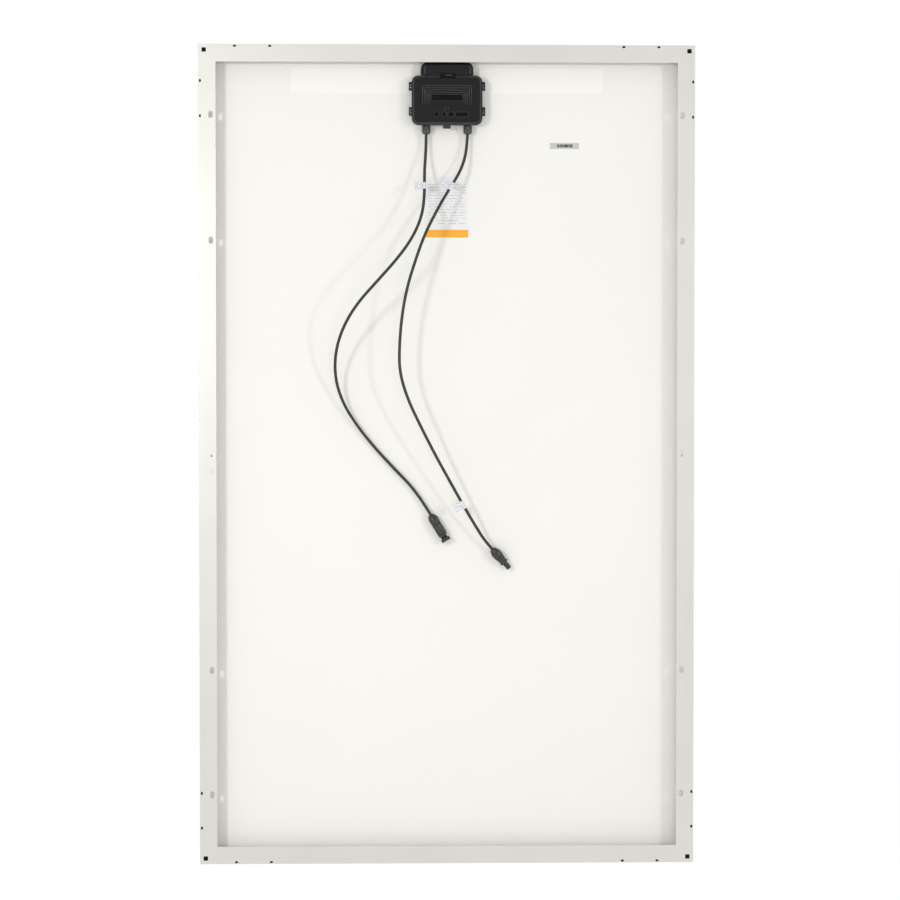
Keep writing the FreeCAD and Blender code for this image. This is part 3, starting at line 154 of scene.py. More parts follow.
def add(tree, kind, values=None, links=None, **settings):
    """A node with its settings, its socket values and its links from other sockets."""
    made = tree.nodes.new(kind)
    for name, value in settings.items():
        setattr(made, name, value)
    for socket, value in (values or {}).items():
        made.inputs[socket].default_value = value
    for socket, source in (links or {}).items():
        tree.links.new(source, made.inputs[socket])
    return made


def seen_directly(tree):
    """1 for the rays that show a background: from the camera, off metal or through glass."""
    path = add(tree, "ShaderNodeLightPath")
    mirrored = add(tree, "ShaderNodeMath", links={0: path.outputs["Is Camera Ray"],
                   1: path.outputs["Is Glossy Ray"]}, operation="MAXIMUM")
    return add(tree, "ShaderNodeMath", links={0: mirrored.outputs[0],
               1: path.outputs["Is Transmission Ray"]}, operation="MAXIMUM").outputs[0]


def set_world():
    """A plain white studio: white where it is seen, and a soft fill where it only lights."""
    world = bpy.data.worlds.new("white_studio")
    world.use_nodes = True
    scene.world = world
    tree = world.node_tree
    tree.nodes.clear()
    fill = add(tree, "ShaderNodeBackground", {"Color": colour("FFFEF8"), "Strength": 0.62})
    white = add(tree, "ShaderNodeBackground", {"Color": colour("FFFFFF"), "Strength": 1.0})
    both = add(tree, "ShaderNodeMixShader",
               links={0: seen_directly(tree), 1: fill.outputs[0], 2: white.outputs[0]})
    add(tree, "ShaderNodeOutputWorld", links={"Surface": both.outputs[0]})


def set_lamp(name, place, aim, side, power):
    """A round soft lamp at a place, aimed at a point."""
    data = bpy.data.lights.new(name, "AREA")
    data.shape = "DISK"
    data.size = side
    data.energy = power
    lamp = bpy.data.objects.new(name, data)
    lamp.location = place
    lamp.rotation_euler = (Vector(aim) - Vector(place)).to_track_quat("-Z", "Y").to_euler()
    scene.collection.objects.link(lamp)
    return lamp


def set_floor():
    """The white studio floor, which the lower rail stands on."""
    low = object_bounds()[0]
    deselect()
    bpy.ops.mesh.primitive_plane_add(size=14, location=(0, 0, low.z - 0.2 * MM))
    floor = bpy.context.active_object
    floor.name = "studio_floor"
    material = bpy.data.materials.new("white studio floor")
    material.use_nodes = True
    tree = material.node_tree
    tree.nodes.clear()
    paint = add(tree, "ShaderNodeBsdfDiffuse", {"Color": colour("F2F2F0")})
    glow = add(tree, "ShaderNodeEmission", {"Color": colour("FFFFFF"), "Strength": 1.09})
    lifted = add(tree, "ShaderNodeMixShader", {0: 0.85}, {1: paint.outputs[0], 2: glow.outputs[0]})
    seen = add(tree, "ShaderNodeMixShader", links={0: seen_directly(tree), 1: paint.outputs[0],
               2: lifted.outputs[0]})
    add(tree, "ShaderNodeOutputMaterial", links={"Surface": seen.outputs[0]})
    floor.data.materials.append(material)


# Modelling helpers. A piece is drawn with x across, y up and z out of the module's back,
# and is then stood up, which turns z into -Y and y into Z.


def deselect():
    """Leave nothing selected, as an operator acts on all that is."""
    bpy.ops.object.select_all(action="DESELECT")


def hold(piece):
    """Make a piece the only one that the next operators act on."""
    deselect()
    piece.select_set(True)
    bpy.context.view_layer.objects.active = piece


def stand(piece, x, y, z):
    """Turn a drawn piece upright and bring it to its place."""
    hold(piece)
    piece.rotation_euler = (math.pi / 2, 0, 0)
    piece.location = (x, y, z)
    bpy.ops.object.transform_apply(location=True, rotation=True, scale=True)


def shape_faces(piece, wanted):
    """Go into edit mode with only the wanted faces of a piece selected."""
    hold(piece)
    for part in (piece.data.vertices, piece.data.edges, piece.data.polygons):
        part.foreach_set("select", [False] * len(part))
    for face in piece.data.polygons:
        face.select = wanted(face)
    bpy.ops.object.mode_set(mode="EDIT")
    bpy.ops.mesh.select_mode(type="FACE")


def done_shaping():
    """Go back to object mode."""
    bpy.ops.object.mode_set(mode="OBJECT")


def rounded_plate(name, width, height, corner, steps=8):
    """A flat plate with rounded corners, left in edit mode with its face selected."""
    deselect()
    bpy.ops.mesh.primitive_plane_add(size=1)
    plate = bpy.context.active_object
    plate.name = name
    plate.scale = (width, height, 1)
    bpy.ops.object.transform_apply(scale=True)
    bpy.ops.object.mode_set(mode="EDIT")
    bpy.ops.mesh.bevel(offset=corner, segments=steps, affect="VERTICES")
    bpy.ops.mesh.select_mode(type="FACE")
    bpy.ops.mesh.select_all(action="SELECT")
    return plate


def thicken(piece, thickness, round_over, steps=2):
    """Give a flat piece its thickness outwards and round its edges over."""
    hold(piece)
    wall = piece.modifiers.new("thickness", "SOLIDIFY")
    wall.thickness = thickness
    wall.offset = 1
    edge = piece.modifiers.new("rounded edges", "BEVEL")
    edge.width = round_over
    edge.segments = steps
    edge.limit_method = "ANGLE"
    edge.angle_limit = SOFT_ANGLE
    for modifier in ("thickness", "rounded edges"):
        bpy.ops.object.modifier_apply(modifier=modifier)
    bpy.ops.object.shade_smooth_by_angle(angle=SOFT_ANGLE)


def raised_line(name, width, height, corner, line, rise):
    """A raised line of rounded section that runs round a rounded rectangle."""
    ring = rounded_plate(name, width, height, corner)
    bpy.ops.mesh.inset(thickness=line, use_even_offset=True)
    bpy.ops.mesh.delete(type="FACE")
    done_shaping()
    thicken(ring, rise, min(line, rise) * 0.45)
    return ring


def join(pieces, name):
    """Make several pieces one object under one name."""
    hold(pieces[0])
    for piece in pieces:
        piece.select_set(True)
    bpy.ops.object.join()
    pieces[0].name = name
    return pieces[0]


def dress(piece, material):
    """Give a piece one material."""
    piece.data.materials.clear()
    piece.data.materials.append(material)
    return piece


def dress_nodes(material, *names):
    """Give nodes of the part one material."""
    for name in names:
        for slot in nodes[name].material_slots:
            slot.material = material


def node_copy(name, new_name, round_over, steps=2):
    """A merged copy of a node's mesh with its sharp edges rounded over."""
    source = nodes[name]
    copy = bpy.data.objects.new(new_name, source.data.copy())
    scene.collection.objects.link(copy)
    hold(copy)
    bpy.ops.object.mode_set(mode="EDIT")
    bpy.ops.mesh.select_all(action="SELECT")
    bpy.ops.mesh.remove_doubles(threshold=0.01 * MM)
    bpy.ops.mesh.dissolve_limited(angle_limit=math.radians(1))
    bpy.ops.object.mode_set(mode="OBJECT")
    edge = copy.modifiers.new("rounded edges", "BEVEL")
    edge.width = round_over
    edge.segments = steps
    edge.limit_method = "ANGLE"
    edge.angle_limit = math.radians(35)
    edge.harden_normals = True
    bpy.ops.object.shade_smooth()
    bpy.ops.object.modifier_apply(modifier="rounded edges")
    return copy


# Materials


def start_material(name):
    """An empty material with its shader and its object coordinates."""
    material = bpy.data.materials.new(name)
    material.use_nodes = True
    tree = material.node_tree
    tree.nodes.clear()
    shader = add(tree, "ShaderNodeBsdfPrincipled")
    add(tree, "ShaderNodeOutputMaterial", links={"Surface": shader.outputs[0]})
    place = add(tree, "ShaderNodeTexCoord").outputs["Object"]
    return material, tree, shader, place


def anodised_aluminium(run):
    """Extruded and clear anodised: satin metal with faint die lines along the rail."""
    material, tree, shader, place = start_material(f"anodised aluminium along {run}")
    stretch = (900, 900, 6) if run == "z" else (6, 900, 900)
    lines_at = add(tree, "ShaderNodeMapping", {"Scale": stretch}, {"Vector": place})
    lines = add(tree, "ShaderNodeTexNoise", {"Scale": 1.0, "Detail": 2}, {"Vector": lines_at.outputs[0]})
    clouds = add(tree, "ShaderNodeTexNoise", {"Scale": 9, "Detail": 3}, {"Vector": place})
    tone = add(tree, "ShaderNodeMix", {6: colour("D2D1CA"), 7: colour("DAD9D2")},
               {0: clouds.outputs["Fac"]}, data_type="RGBA")
    worn = add(tree, "ShaderNodeMapRange", {"From Min": 0.3, "From Max": 0.7, "To Min": 0.38, "To Max": 0.46},
               {"Value": lines.outputs["Fac"]})
    bump = add(tree, "ShaderNodeBump", {"Strength": 0.05, "Distance": 0.05 * MM},
               {"Height": lines.outputs["Fac"]})
    shader.inputs["Metallic"].default_value = 1.0
    tree.links.new(tone.outputs[2], shader.inputs["Base Color"])
    tree.links.new(worn.outputs[0], shader.inputs["Roughness"])
    tree.links.new(bump.outputs[0], shader.inputs["Normal"])
    return material


def mill_aluminium():
    """Sawn aluminium keys: duller and greyer metal than the rails."""
    material, tree, shader, place = start_material("mill finish aluminium")
    grain = add(tree, "ShaderNodeTexNoise", {"Scale": 400, "Detail": 2}, {"Vector": place})
    rough = add(tree, "ShaderNodeMapRange", {"To Min": 0.4, "To Max": 0.6}, {"Value": grain.outputs["Fac"]})
    tone = add(tree, "ShaderNodeMix", {6: colour("B4B4B2"), 7: colour("C4C4C2")},
               {0: grain.outputs["Fac"]}, data_type="RGBA")
    shader.inputs["Metallic"].default_value = 1.0
    tree.links.new(tone.outputs[2], shader.inputs["Base Color"])
    tree.links.new(rough.outputs[0], shader.inputs["Roughness"])
    return material


def backsheet_film():
    """White weatherproof film: soft satin, faintly lighter over the insulation strip."""
    material, tree, shader, place = start_material("white backsheet film")
    clouds = add(tree, "ShaderNodeTexNoise", {"Scale": 4, "Detail": 4}, {"Vector": place})
    film = add(tree, "ShaderNodeMix", {6: colour("F3F2F0"), 7: colour("F6F5F3")},
               {0: clouds.outputs["Fac"]}, data_type="RGBA")
    parts = add(tree, "ShaderNodeSeparateXYZ", links={0: place})
    strip_low, strip_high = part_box("insulation_strip")
    across = add(tree, "ShaderNodeMath", {1: 0.0, 2: strip_high.x}, {0: parts.outputs["X"]},
                 operation="COMPARE")
    along = add(tree, "ShaderNodeMath",
                {1: (strip_low.z + strip_high.z) / 2, 2: (strip_high.z - strip_low.z) / 2},
                {0: parts.outputs["Z"]}, operation="COMPARE")
    over = add(tree, "ShaderNodeMath", links={0: across.outputs[0], 1: along.outputs[0]},
               operation="MULTIPLY")
    tone = add(tree, "ShaderNodeMix", {7: colour("F9F8F6")}, {0: over.outputs[0], 6: film.outputs[2]},
               data_type="RGBA")
    grain = add(tree, "ShaderNodeTexNoise", {"Scale": 700, "Detail": 1}, {"Vector": place})
    bump = add(tree, "ShaderNodeBump", {"Strength": 0.08, "Distance": 0.05 * MM},
               {"Height": grain.outputs["Fac"]})
    shader.inputs["Roughness"].default_value = 0.5
    shader.inputs["Specular IOR Level"].default_value = 0.25
    tree.links.new(tone.outputs[2], shader.inputs["Base Color"])
    tree.links.new(bump.outputs[0], shader.inputs["Normal"])
    return material


def moulded_black(name, tone_dark, tone_light, roughness, shine):
    """Glass-filled black plastic: fine spark-eroded grain that softens each highlight."""
    material, tree, shader, place = start_material(name)
    # The real grain is about 0.1 mm; it is drawn at 0.7 mm so that it shows.
    grain = add(tree, "ShaderNodeTexNoise", {"Scale": 1400, "Detail": 2}, {"Vector": place})
    clouds = add(tree, "ShaderNodeTexNoise", {"Scale": 45, "Detail": 3}, {"Vector": place})
    tone = add(tree, "ShaderNodeMix", {6: colour(tone_dark), 7: colour(tone_light)},
               {0: clouds.outputs["Fac"]}, data_type="RGBA")
    rough = add(tree, "ShaderNodeMapRange", {"To Min": roughness - 0.06, "To Max": roughness + 0.08},
                {"Value": clouds.outputs["Fac"]})
    bump = add(tree, "ShaderNodeBump", {"Strength": 0.08, "Distance": 0.06 * MM},
               {"Height": grain.outputs["Fac"]})
    shader.inputs["IOR"].default_value = 1.5
    shader.inputs["Specular IOR Level"].default_value = shine
    tree.links.new(tone.outputs[2], shader.inputs["Base Color"])
    tree.links.new(rough.outputs[0], shader.inputs["Roughness"])
    tree.links.new(bump.outputs[0], shader.inputs["Normal"])
    return material


def cable_jacket():
    """Extruded black jacket: matt, a little greyer where handling has scuffed it."""
    material, tree, shader, place = start_material("cross-linked cable jacket")
    scuffs = add(tree, "ShaderNodeTexNoise", {"Scale": 60, "Detail": 5, "Roughness": 0.6}, {"Vector": place})
    tone = add(tree, "ShaderNodeMix", {6: colour("2A2927"), 7: colour("3A3835")},
               {0: scuffs.outputs["Fac"]}, data_type="RGBA")
    grain = add(tree, "ShaderNodeTexNoise", {"Scale": 1500, "Detail": 1}, {"Vector": place})
    bump = add(tree, "ShaderNodeBump", {"Strength": 0.15, "Distance": 0.05 * MM},
               {"Height": grain.outputs["Fac"]})
    shader.inputs["Roughness"].default_value = 0.5
    shader.inputs["Specular IOR Level"].default_value = 0.4
    tree.links.new(tone.outputs[2], shader.inputs["Base Color"])
    tree.links.new(bump.outputs[0], shader.inputs["Normal"])
    return material


def plain_material(name, dark, light, scale, roughness, metallic=0.0, depth=0.03):
    """A moulded, plated or cast surface with a soft grain of its own."""
    material, tree, shader, place = start_material(name)
    grain = add(tree, "ShaderNodeTexNoise", {"Scale": scale, "Detail": 3}, {"Vector": place})
    tone = add(tree, "ShaderNodeMix", {6: colour(dark), 7: colour(light)},
               {0: grain.outputs["Fac"]}, data_type="RGBA")
    rough = add(tree, "ShaderNodeMapRange", {"To Min": roughness - 0.05, "To Max": roughness + 0.05},
                {"Value": grain.outputs["Fac"]})
    bump = add(tree, "ShaderNodeBump", {"Strength": 0.2, "Distance": depth * MM},
               {"Height": grain.outputs["Fac"]})
    shader.inputs["Metallic"].default_value = metallic
    tree.links.new(tone.outputs[2], shader.inputs["Base Color"])
    tree.links.new(rough.outputs[0], shader.inputs["Roughness"])
    tree.links.new(bump.outputs[0], shader.inputs["Normal"])
    return material


def coated_silicon():
    """Monocrystalline cells: blue-black nitride coating under fine printed silver fingers."""
    material, tree, shader, place = start_material("nitride coated silicon")
    parts = add(tree, "ShaderNodeSeparateXYZ", links={0: place})
    # Fingers are printed about 1.6 mm apart and run across the ribbons.
    turns = add(tree, "ShaderNodeMath", {1: 2 * math.pi / (1.6 * MM)}, {0: parts.outputs["Z"]},
                operation="MULTIPLY")
    wave = add(tree, "ShaderNodeMath", links={0: turns.outputs[0]}, operation="COSINE")
    finger = add(tree, "ShaderNodeMapRange", {"From Min": 0.9, "From Max": 0.98}, {"Value": wave.outputs[0]})
    clouds = add(tree, "ShaderNodeTexNoise", {"Scale": 5, "Detail": 2}, {"Vector": place})
    coat = add(tree, "ShaderNodeMix", {6: colour("0C1226"), 7: colour("121A33")},
               {0: clouds.outputs["Fac"]}, data_type="RGBA")
    tone = add(tree, "ShaderNodeMix", {7: colour("8E949C")}, {0: finger.outputs[0], 6: coat.outputs[2]},
               data_type="RGBA")
    shader.inputs["Roughness"].default_value = 0.35
    shader.inputs["Coat Weight"].default_value = 0.6
    shader.inputs["Coat Roughness"].default_value = 0.06
    tree.links.new(tone.outputs[2], shader.inputs["Base Color"])
    return material


def clear_sheet(name, tint, alpha, roughness, stipple):
    """A clear sheet over the cells: a thin veil of its own colour and reflection."""
    material, tree, shader, place = start_material(name)
    dimples = add(tree, "ShaderNodeTexVoronoi", {"Scale": stipple}, {"Vector": place})
    bump = add(tree, "ShaderNodeBump", {"Strength": 0.1, "Distance": 0.05 * MM},
               {"Height": dimples.outputs["Distance"]})
    shader.inputs["Base Color"].default_value = colour(tint)
    shader.inputs["Alpha"].default_value = alpha
    shader.inputs["Roughness"].default_value = roughness
    tree.links.new(bump.outputs[0], shader.inputs["Normal"])
    return material


def rating_label_print():
    """Satin label stock with blank ruled rows and an orange band along its foot."""
    material, tree, shader, place = start_material("ruled label stock")
    low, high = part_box("rating_label")
    parts = add(tree, "ShaderNodeSeparateXYZ", links={0: place})
    up = add(tree, "ShaderNodeMath", {1: low.z}, {0: parts.outputs["Z"]}, operation="SUBTRACT")
    across = add(tree, "ShaderNodeMath", {1: low.x}, {0: parts.outputs["X"]}, operation="SUBTRACT")
    turns = add(tree, "ShaderNodeMath", {1: 2 * math.pi / (5.6 * MM)}, {0: up.outputs[0]},
                operation="MULTIPLY")
    wave = add(tree, "ShaderNodeMath", links={0: turns.outputs[0]}, operation="COSINE")
    row = add(tree, "ShaderNodeMapRange", {"From Min": 0.5, "From Max": 0.8}, {"Value": wave.outputs[0]})
    breaks_at = add(tree, "ShaderNodeMapping", {"Scale": (120, 1, 178)}, {"Vector": place})
    breaks = add(tree, "ShaderNodeTexNoise", {"Scale": 1.0, "Detail": 1}, {"Vector": breaks_at.outputs[0]})
    broken = add(tree, "ShaderNodeMapRange", {"From Min": 0.42, "From Max": 0.5},
                 {"Value": breaks.outputs["Fac"]})
    inside_x = add(tree, "ShaderNodeMath", {1: (high.x - low.x) / 2, 2: (high.x - low.x) / 2 - 5 * MM},
                   {0: across.outputs[0]}, operation="COMPARE")
    inside_z = add(tree, "ShaderNodeMath", {1: 66 * MM, 2: 42 * MM}, {0: up.outputs[0]}, operation="COMPARE")
    marks = inside_x.outputs[0]
    for factor in (inside_z, row, broken):
        marks = add(tree, "ShaderNodeMath", links={0: marks, 1: factor.outputs[0]},
                    operation="MULTIPLY").outputs[0]
    faint = add(tree, "ShaderNodeMath", {1: 0.8}, {0: marks}, operation="MULTIPLY")
    paper = add(tree, "ShaderNodeMix", {6: colour("EFEFF1"), 7: colour("BFBFC6")}, {0: faint.outputs[0]},
                data_type="RGBA")
    band = add(tree, "ShaderNodeMath", {1: 15.4 * MM}, {0: up.outputs[0]}, operation="LESS_THAN")
    tone = add(tree, "ShaderNodeMix", {7: colour("FCB23C")}, {0: band.outputs[0], 6: paper.outputs[2]},
               data_type="RGBA")
    shader.inputs["Roughness"].default_value = 0.4
    shader.inputs["Specular IOR Level"].default_value = 0.3
    tree.links.new(tone.outputs[2], shader.inputs["Base Color"])
    return material


def tag_print():
    """Blue-white tag paper with faint blank rules about 3 mm apart."""
    material, tree, shader, place = start_material("printed tag paper")
    parts = add(tree, "ShaderNodeSeparateXYZ", links={0: place})
    turns = add(tree, "ShaderNodeMath", {1: 2 * math.pi / (3.2 * MM)}, {0: parts.outputs["Z"]},
                operation="MULTIPLY")
    wave = add(tree, "ShaderNodeMath", links={0: turns.outputs[0]}, operation="COSINE")
    rule = add(tree, "ShaderNodeMapRange", {"From Min": 0.2, "From Max": 0.7}, {"Value": wave.outputs[0]})
    breaks = add(tree, "ShaderNodeTexNoise", {"Scale": 260, "Detail": 1}, {"Vector": place})
    broken = add(tree, "ShaderNodeMapRange", {"From Min": 0.46, "From Max": 0.56},
                 {"Value": breaks.outputs["Fac"]})
    marks = add(tree, "ShaderNodeMath", links={0: rule.outputs[0], 1: broken.outputs[0]},
                operation="MULTIPLY")
    tone = add(tree, "ShaderNodeMix", {6: colour("E8E8F1"), 7: colour("AFABC0")}, {0: marks.outputs[0]},
               data_type="RGBA")
    shader.inputs["Roughness"].default_value = 0.6
    tree.links.new(tone.outputs[2], shader.inputs["Base Color"])
    return material


def serial_label_print():
    """Grey label stock with a row of upright bars between two pale margins."""
    material, tree, shader, place = start_material("barred label stock")
    low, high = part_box("serial_label")
    bars_at = add(tree, "ShaderNodeMapping", {"Scale": (520, 1, 1)}, {"Vector": place})
    bars = add(tree, "ShaderNodeTexNoise", {"Scale": 1.0, "Detail": 1}, {"Vector": bars_at.outputs[0]})
    bar = add(tree, "ShaderNodeMapRange", {"From Min": 0.38, "From Max": 0.46},
              {"Value": bars.outputs["Fac"]})
    parts = add(tree, "ShaderNodeSeparateXYZ", links={0: place})
    inside_x = add(tree, "ShaderNodeMath", {1: (low.x + high.x) / 2, 2: (high.x - low.x) / 2 - 13 * MM},
                   {0: parts.outputs["X"]}, operation="COMPARE")
    inside_z = add(tree, "ShaderNodeMath", {1: (low.z + high.z) / 2, 2: (high.z - low.z) / 2 - 3 * MM},
                   {0: parts.outputs["Z"]}, operation="COMPARE")
    marks = bar.outputs[0]
    for factor in (inside_x, inside_z):
        marks = add(tree, "ShaderNodeMath", links={0: marks, 1: factor.outputs[0]},
                    operation="MULTIPLY").outputs[0]
    tone = add(tree, "ShaderNodeMix", {6: colour("C9C9C8"), 7: colour("3C3C3C")}, {0: marks},
               data_type="RGBA")
    shader.inputs["Roughness"].default_value = 0.4
    tree.links.new(tone.outputs[2], shader.inputs["Base Color"])
    return material


black_lid = moulded_black("moulded polyphenylene, lid", "0E1010", "141616", 0.34, 0.2)
# Recess floors, the catch pocket and the corner plugs are painted darker than the box: a painted shade.
painted_shade_black = moulded_black("moulded polyphenylene, painted shade", "0A0B0B", "0E0F0F", 0.5, 0.08)
black_box = moulded_black("moulded polyphenylene, box", "0E1010", "131515", 0.3, 0.22)
# Edges, ribs, beads and the lid's sloped border are painted greyer than the grain: a painted highlight of the
# side lamps. The pull tab takes the same grey.
painted_highlight_black = moulded_black("moulded polyphenylene, painted highlight", "2B2C2C", "363737", 0.28, 0.35)
black_fittings = moulded_black("moulded polyamide, plugs", "212020", "302F2D", 0.26, 0.5)
# The plugs' grip ribs are painted greyer than the plug: a painted highlight.
painted_highlight_plug = moulded_black("moulded polyamide, painted highlight", "3B3937", "494745", 0.24, 0.6)
black_glands = moulded_black("moulded polyamide, glands", "282826", "3A3A38", 0.2, 0.8)
jacket = cable_jacket()
stamped_metal = plain_material("stamped aluminium", "C4C3BE", "CFCEC9", 500, 0.6, metallic=0.6)
tag_paper = tag_print()


# Cables and what is on them


def cable(name, route, replaced):
    """A cable as one smooth line along its route."""
    data = bpy.data.curves.new(name, "CURVE")
    data.dimensions = "3D"
    data.resolution_u = 12
    data.bevel_depth = CABLE_DIAMETER / 2
    data.bevel_resolution = 5
    data.use_fill_caps = True
    line = data.splines.new("NURBS")
    line.points.add(len(route) - 1)
    for point, (x, y, z) in zip(line.points, route):
        point.co = (x * MM, y * MM, BOX_MIDDLE + z * MM, 1)
    line.order_u = 3
    line.use_endpoint_u = True
    piece = bpy.data.objects.new(name, data)
    scene.collection.objects.link(piece)
    dress(piece, jacket)
    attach(piece, "root")
    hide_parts(replaced)
    return piece


def line_points(piece):
    """Points along a cable's own line."""
    bare = piece.copy()
    bare.data = piece.data.copy()
    bare.data.bevel_depth = 0
    scene.collection.objects.link(bare)
    mesh = bpy.data.meshes.new_from_object(bare)
    points = [vertex.co.copy() for vertex in mesh.vertices]
    bpy.data.objects.remove(bare)
    bpy.data.meshes.remove(mesh)
    return points


def place_on(points, distance):
    """The point and direction this far along a line."""
    for start, end in zip(points, points[1:]):
        step = (end - start).length
        if distance <= step:
            direction = (end - start).normalized()
            return start + direction * distance, direction
        distance -= step
    raise ValueError("The line is shorter than that")


def frame_on(point, direction):
    """The turn and place that bring z along a direction at a point, with x to the left."""
    side = Vector((-1, 0, 0)) - direction * -direction.x
    side.normalize()
    turn = Matrix((side, direction.cross(side), direction)).transposed().to_4x4()
    return Matrix.Translation(point) @ turn


def paper_tag(name, points, distance, long, replaced):
    """A paper tag wrapped round a cable, with its two ends stuck together as a flag."""
    deselect()
    bpy.ops.mesh.primitive_cylinder_add(vertices=28, radius=CABLE_DIAMETER / 2 + 0.45 * MM, depth=long,
                                        end_fill_type="NOTHING")
    wrap = bpy.context.active_object
    bpy.ops.mesh.primitive_grid_add(x_subdivisions=10, y_subdivisions=4, size=1)
    flag = bpy.context.active_object
    flag.scale = (FLAG_LENGTH, long, 1)
    flag.rotation_euler = (math.pi / 2, 0, 0)
    flag.location = (11.3 * MM, 0, 0)
    bpy.ops.object.transform_apply()
    for vertex in flag.data.vertices:
        out = vertex.co.x - 3.3 * MM
        vertex.co.y += 0.9 * MM * math.sin(out / FLAG_LENGTH * math.pi) - 0.02 * out
    tag = join([wrap, flag], name)
    ply = tag.modifiers.new("ply", "SOLIDIFY")
    ply.thickness = 0.3 * MM
    ply.offset = 0
    hold(tag)
    bpy.ops.object.modifier_apply(modifier="ply")
    bpy.ops.object.shade_smooth_by_angle(angle=SOFT_ANGLE)
    point, direction = place_on(points, distance)
    tag.matrix_world = frame_on(point, direction)
    hold(tag)
    bpy.ops.object.transform_apply()
    dress(tag, tag_paper)
    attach(tag, "root")
    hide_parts(replaced)
    return tag


def make_cables():
    """Both cables with their tags."""
    left = cable("cable_left_jacket", LEFT_ROUTE, "cable_left")
    right = cable("cable_right_jacket", RIGHT_ROUTE, "cable_right")
    left_line = line_points(left)
    right_line = line_points(right)
    left_tags = [paper_tag("tag_left", left_line, 138 * MM, 14.5 * MM, "cable_tag_left")]
    right_tags = [
        paper_tag("tag_right_upper", right_line, 143 * MM, 17 * MM, "cable_tag_right_upper"),
        paper_tag("tag_right_lower", right_line, 831 * MM, 17 * MM, "cable_tag_right_lower"),
    ]


# Junction box


def bar(name, width, height, corner, rise):
    """A raised pad with rounded corners and edges."""
    pad = rounded_plate(name, width, height, corner, 4)
    done_shaping()
    thicken(pad, rise, min(corner, rise) * 0.45)
    return pad


def make_corner_plugs():
    """Square black plugs in the flanges where the corner keys are staked; their black stands in for the shade
    in the corner holes, a painted shade.
    """
    left, low_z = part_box("frame_rail_left")[0].x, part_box("frame_rail_bottom")[0].z
    for side in (-1, 1):
        for end in (-1, 1):
            plug = bar("corner_plug", 8.6 * MM, 8.6 * MM, 0.8 * MM, 0.7 * MM)
            stand(plug, -(left + CORNER_PLUG_INSET) * side, 0.1 * MM, -(low_z + CORNER_PLUG_INSET) * end)
            dress(plug, painted_shade_black)
            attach(plug, "root")


def make_earth_marks():
    """The general sign for an earth, a ring round three bars, stamped beside each earth hole."""
    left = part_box("frame_rail_left")[0].x
    for x, z in ((left + EARTH_MARK_INSET, -32 * MM), (-left - EARTH_MARK_INSET, 7 * MM)):
        pieces = [raised_line("ring", 9 * MM, 9 * MM, 4.45 * MM, 0.7 * MM, 0.2 * MM)]
        for y, wide in ((-2.2, 1.2), (-1.2, 2.8), (-0.2, 4.4)):
            pieces.append(placed(bar("earth_bar", wide * MM, 0.6 * MM, 0.2 * MM, 0.2 * MM), 0, y * MM, 0))
        pieces.append(placed(bar("earth_stem", 0.6 * MM, 2.6 * MM, 0.2 * MM, 0.2 * MM), 0, 1.4 * MM, 0))
        mark = join(pieces, "earth_mark")
        stand(mark, x, 0.05 * MM, z)
        dress(mark, stamped_metal)
        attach(mark, "root")


def placed(piece, x, y, z):
    """A drawn piece moved to its place."""
    hold(piece)
    piece.location = (x, y, z)
    bpy.ops.object.transform_apply()
    return piece


def lid_shell(top):
    """The lid's own wall: a skirt, a sloped border and a raised plateau with a panel let in."""
    width, tall, corner = 141.4 * MM, 98.5 * MM, 13 * MM
    slope, step = 1.8 * MM, 1.6 * MM
    shell = rounded_plate("lid_shell", width, tall, corner, 10)
    bpy.ops.mesh.extrude_region_move(TRANSFORM_OT_translate={"value": (0, 0, top - slope - step)})
    bpy.ops.mesh.inset(thickness=5 * MM, depth=slope, use_even_offset=True)
    bpy.ops.mesh.inset(thickness=1.2 * MM, depth=step, use_even_offset=True)
    for point, normal in (
        ((-PANEL_HALF_WIDTH, 0, 0), (1, 0, 0)), ((PANEL_HALF_WIDTH, 0, 0), (1, 0, 0)),
        ((0, PANEL_MIDDLE - PANEL_HALF_HEIGHT, 0), (0, 1, 0)),
        ((0, PANEL_MIDDLE + PANEL_HALF_HEIGHT, 0), (0, 1, 0)),
    ):
        bpy.ops.mesh.bisect(plane_co=point, plane_no=normal)
        done_shaping()
        shape_faces(shell, lambda face: face.center.z > top - 0.05 * MM)
    done_shaping()
    shape_faces(shell, lambda face: face.center.z > top - 0.05 * MM and abs(face.center.x) < PANEL_HALF_WIDTH
                and abs(face.center.y - PANEL_MIDDLE) < PANEL_HALF_HEIGHT)
    bpy.ops.mesh.inset(thickness=0.4 * MM, depth=-1.2 * MM, use_even_offset=True)
    done_shaping()
    hold(shell)
    wall = shell.modifiers.new("wall", "SOLIDIFY")
    wall.thickness = 2.2 * MM
    wall.offset = -1
    edge = shell.modifiers.new("rounded edges", "BEVEL")
    edge.width = 1.2 * MM
    edge.segments = 4
    edge.limit_method = "ANGLE"
    edge.angle_limit = math.radians(50)
    for modifier in ("wall", "rounded edges"):
        bpy.ops.object.modifier_apply(modifier=modifier)
    bpy.ops.object.shade_smooth_by_angle(angle=math.radians(35))
    dress(shell, black_lid)
    shell.data.materials.append(painted_highlight_black)
    # The sloped border takes the greyer material: a painted highlight of the side lamps.
    for face in shell.data.polygons:
        on_slope = 0.9 < face.normal.z < 0.98 and face.center.z < top - step
        face.material_index = 1 if on_slope else 0
    return shell


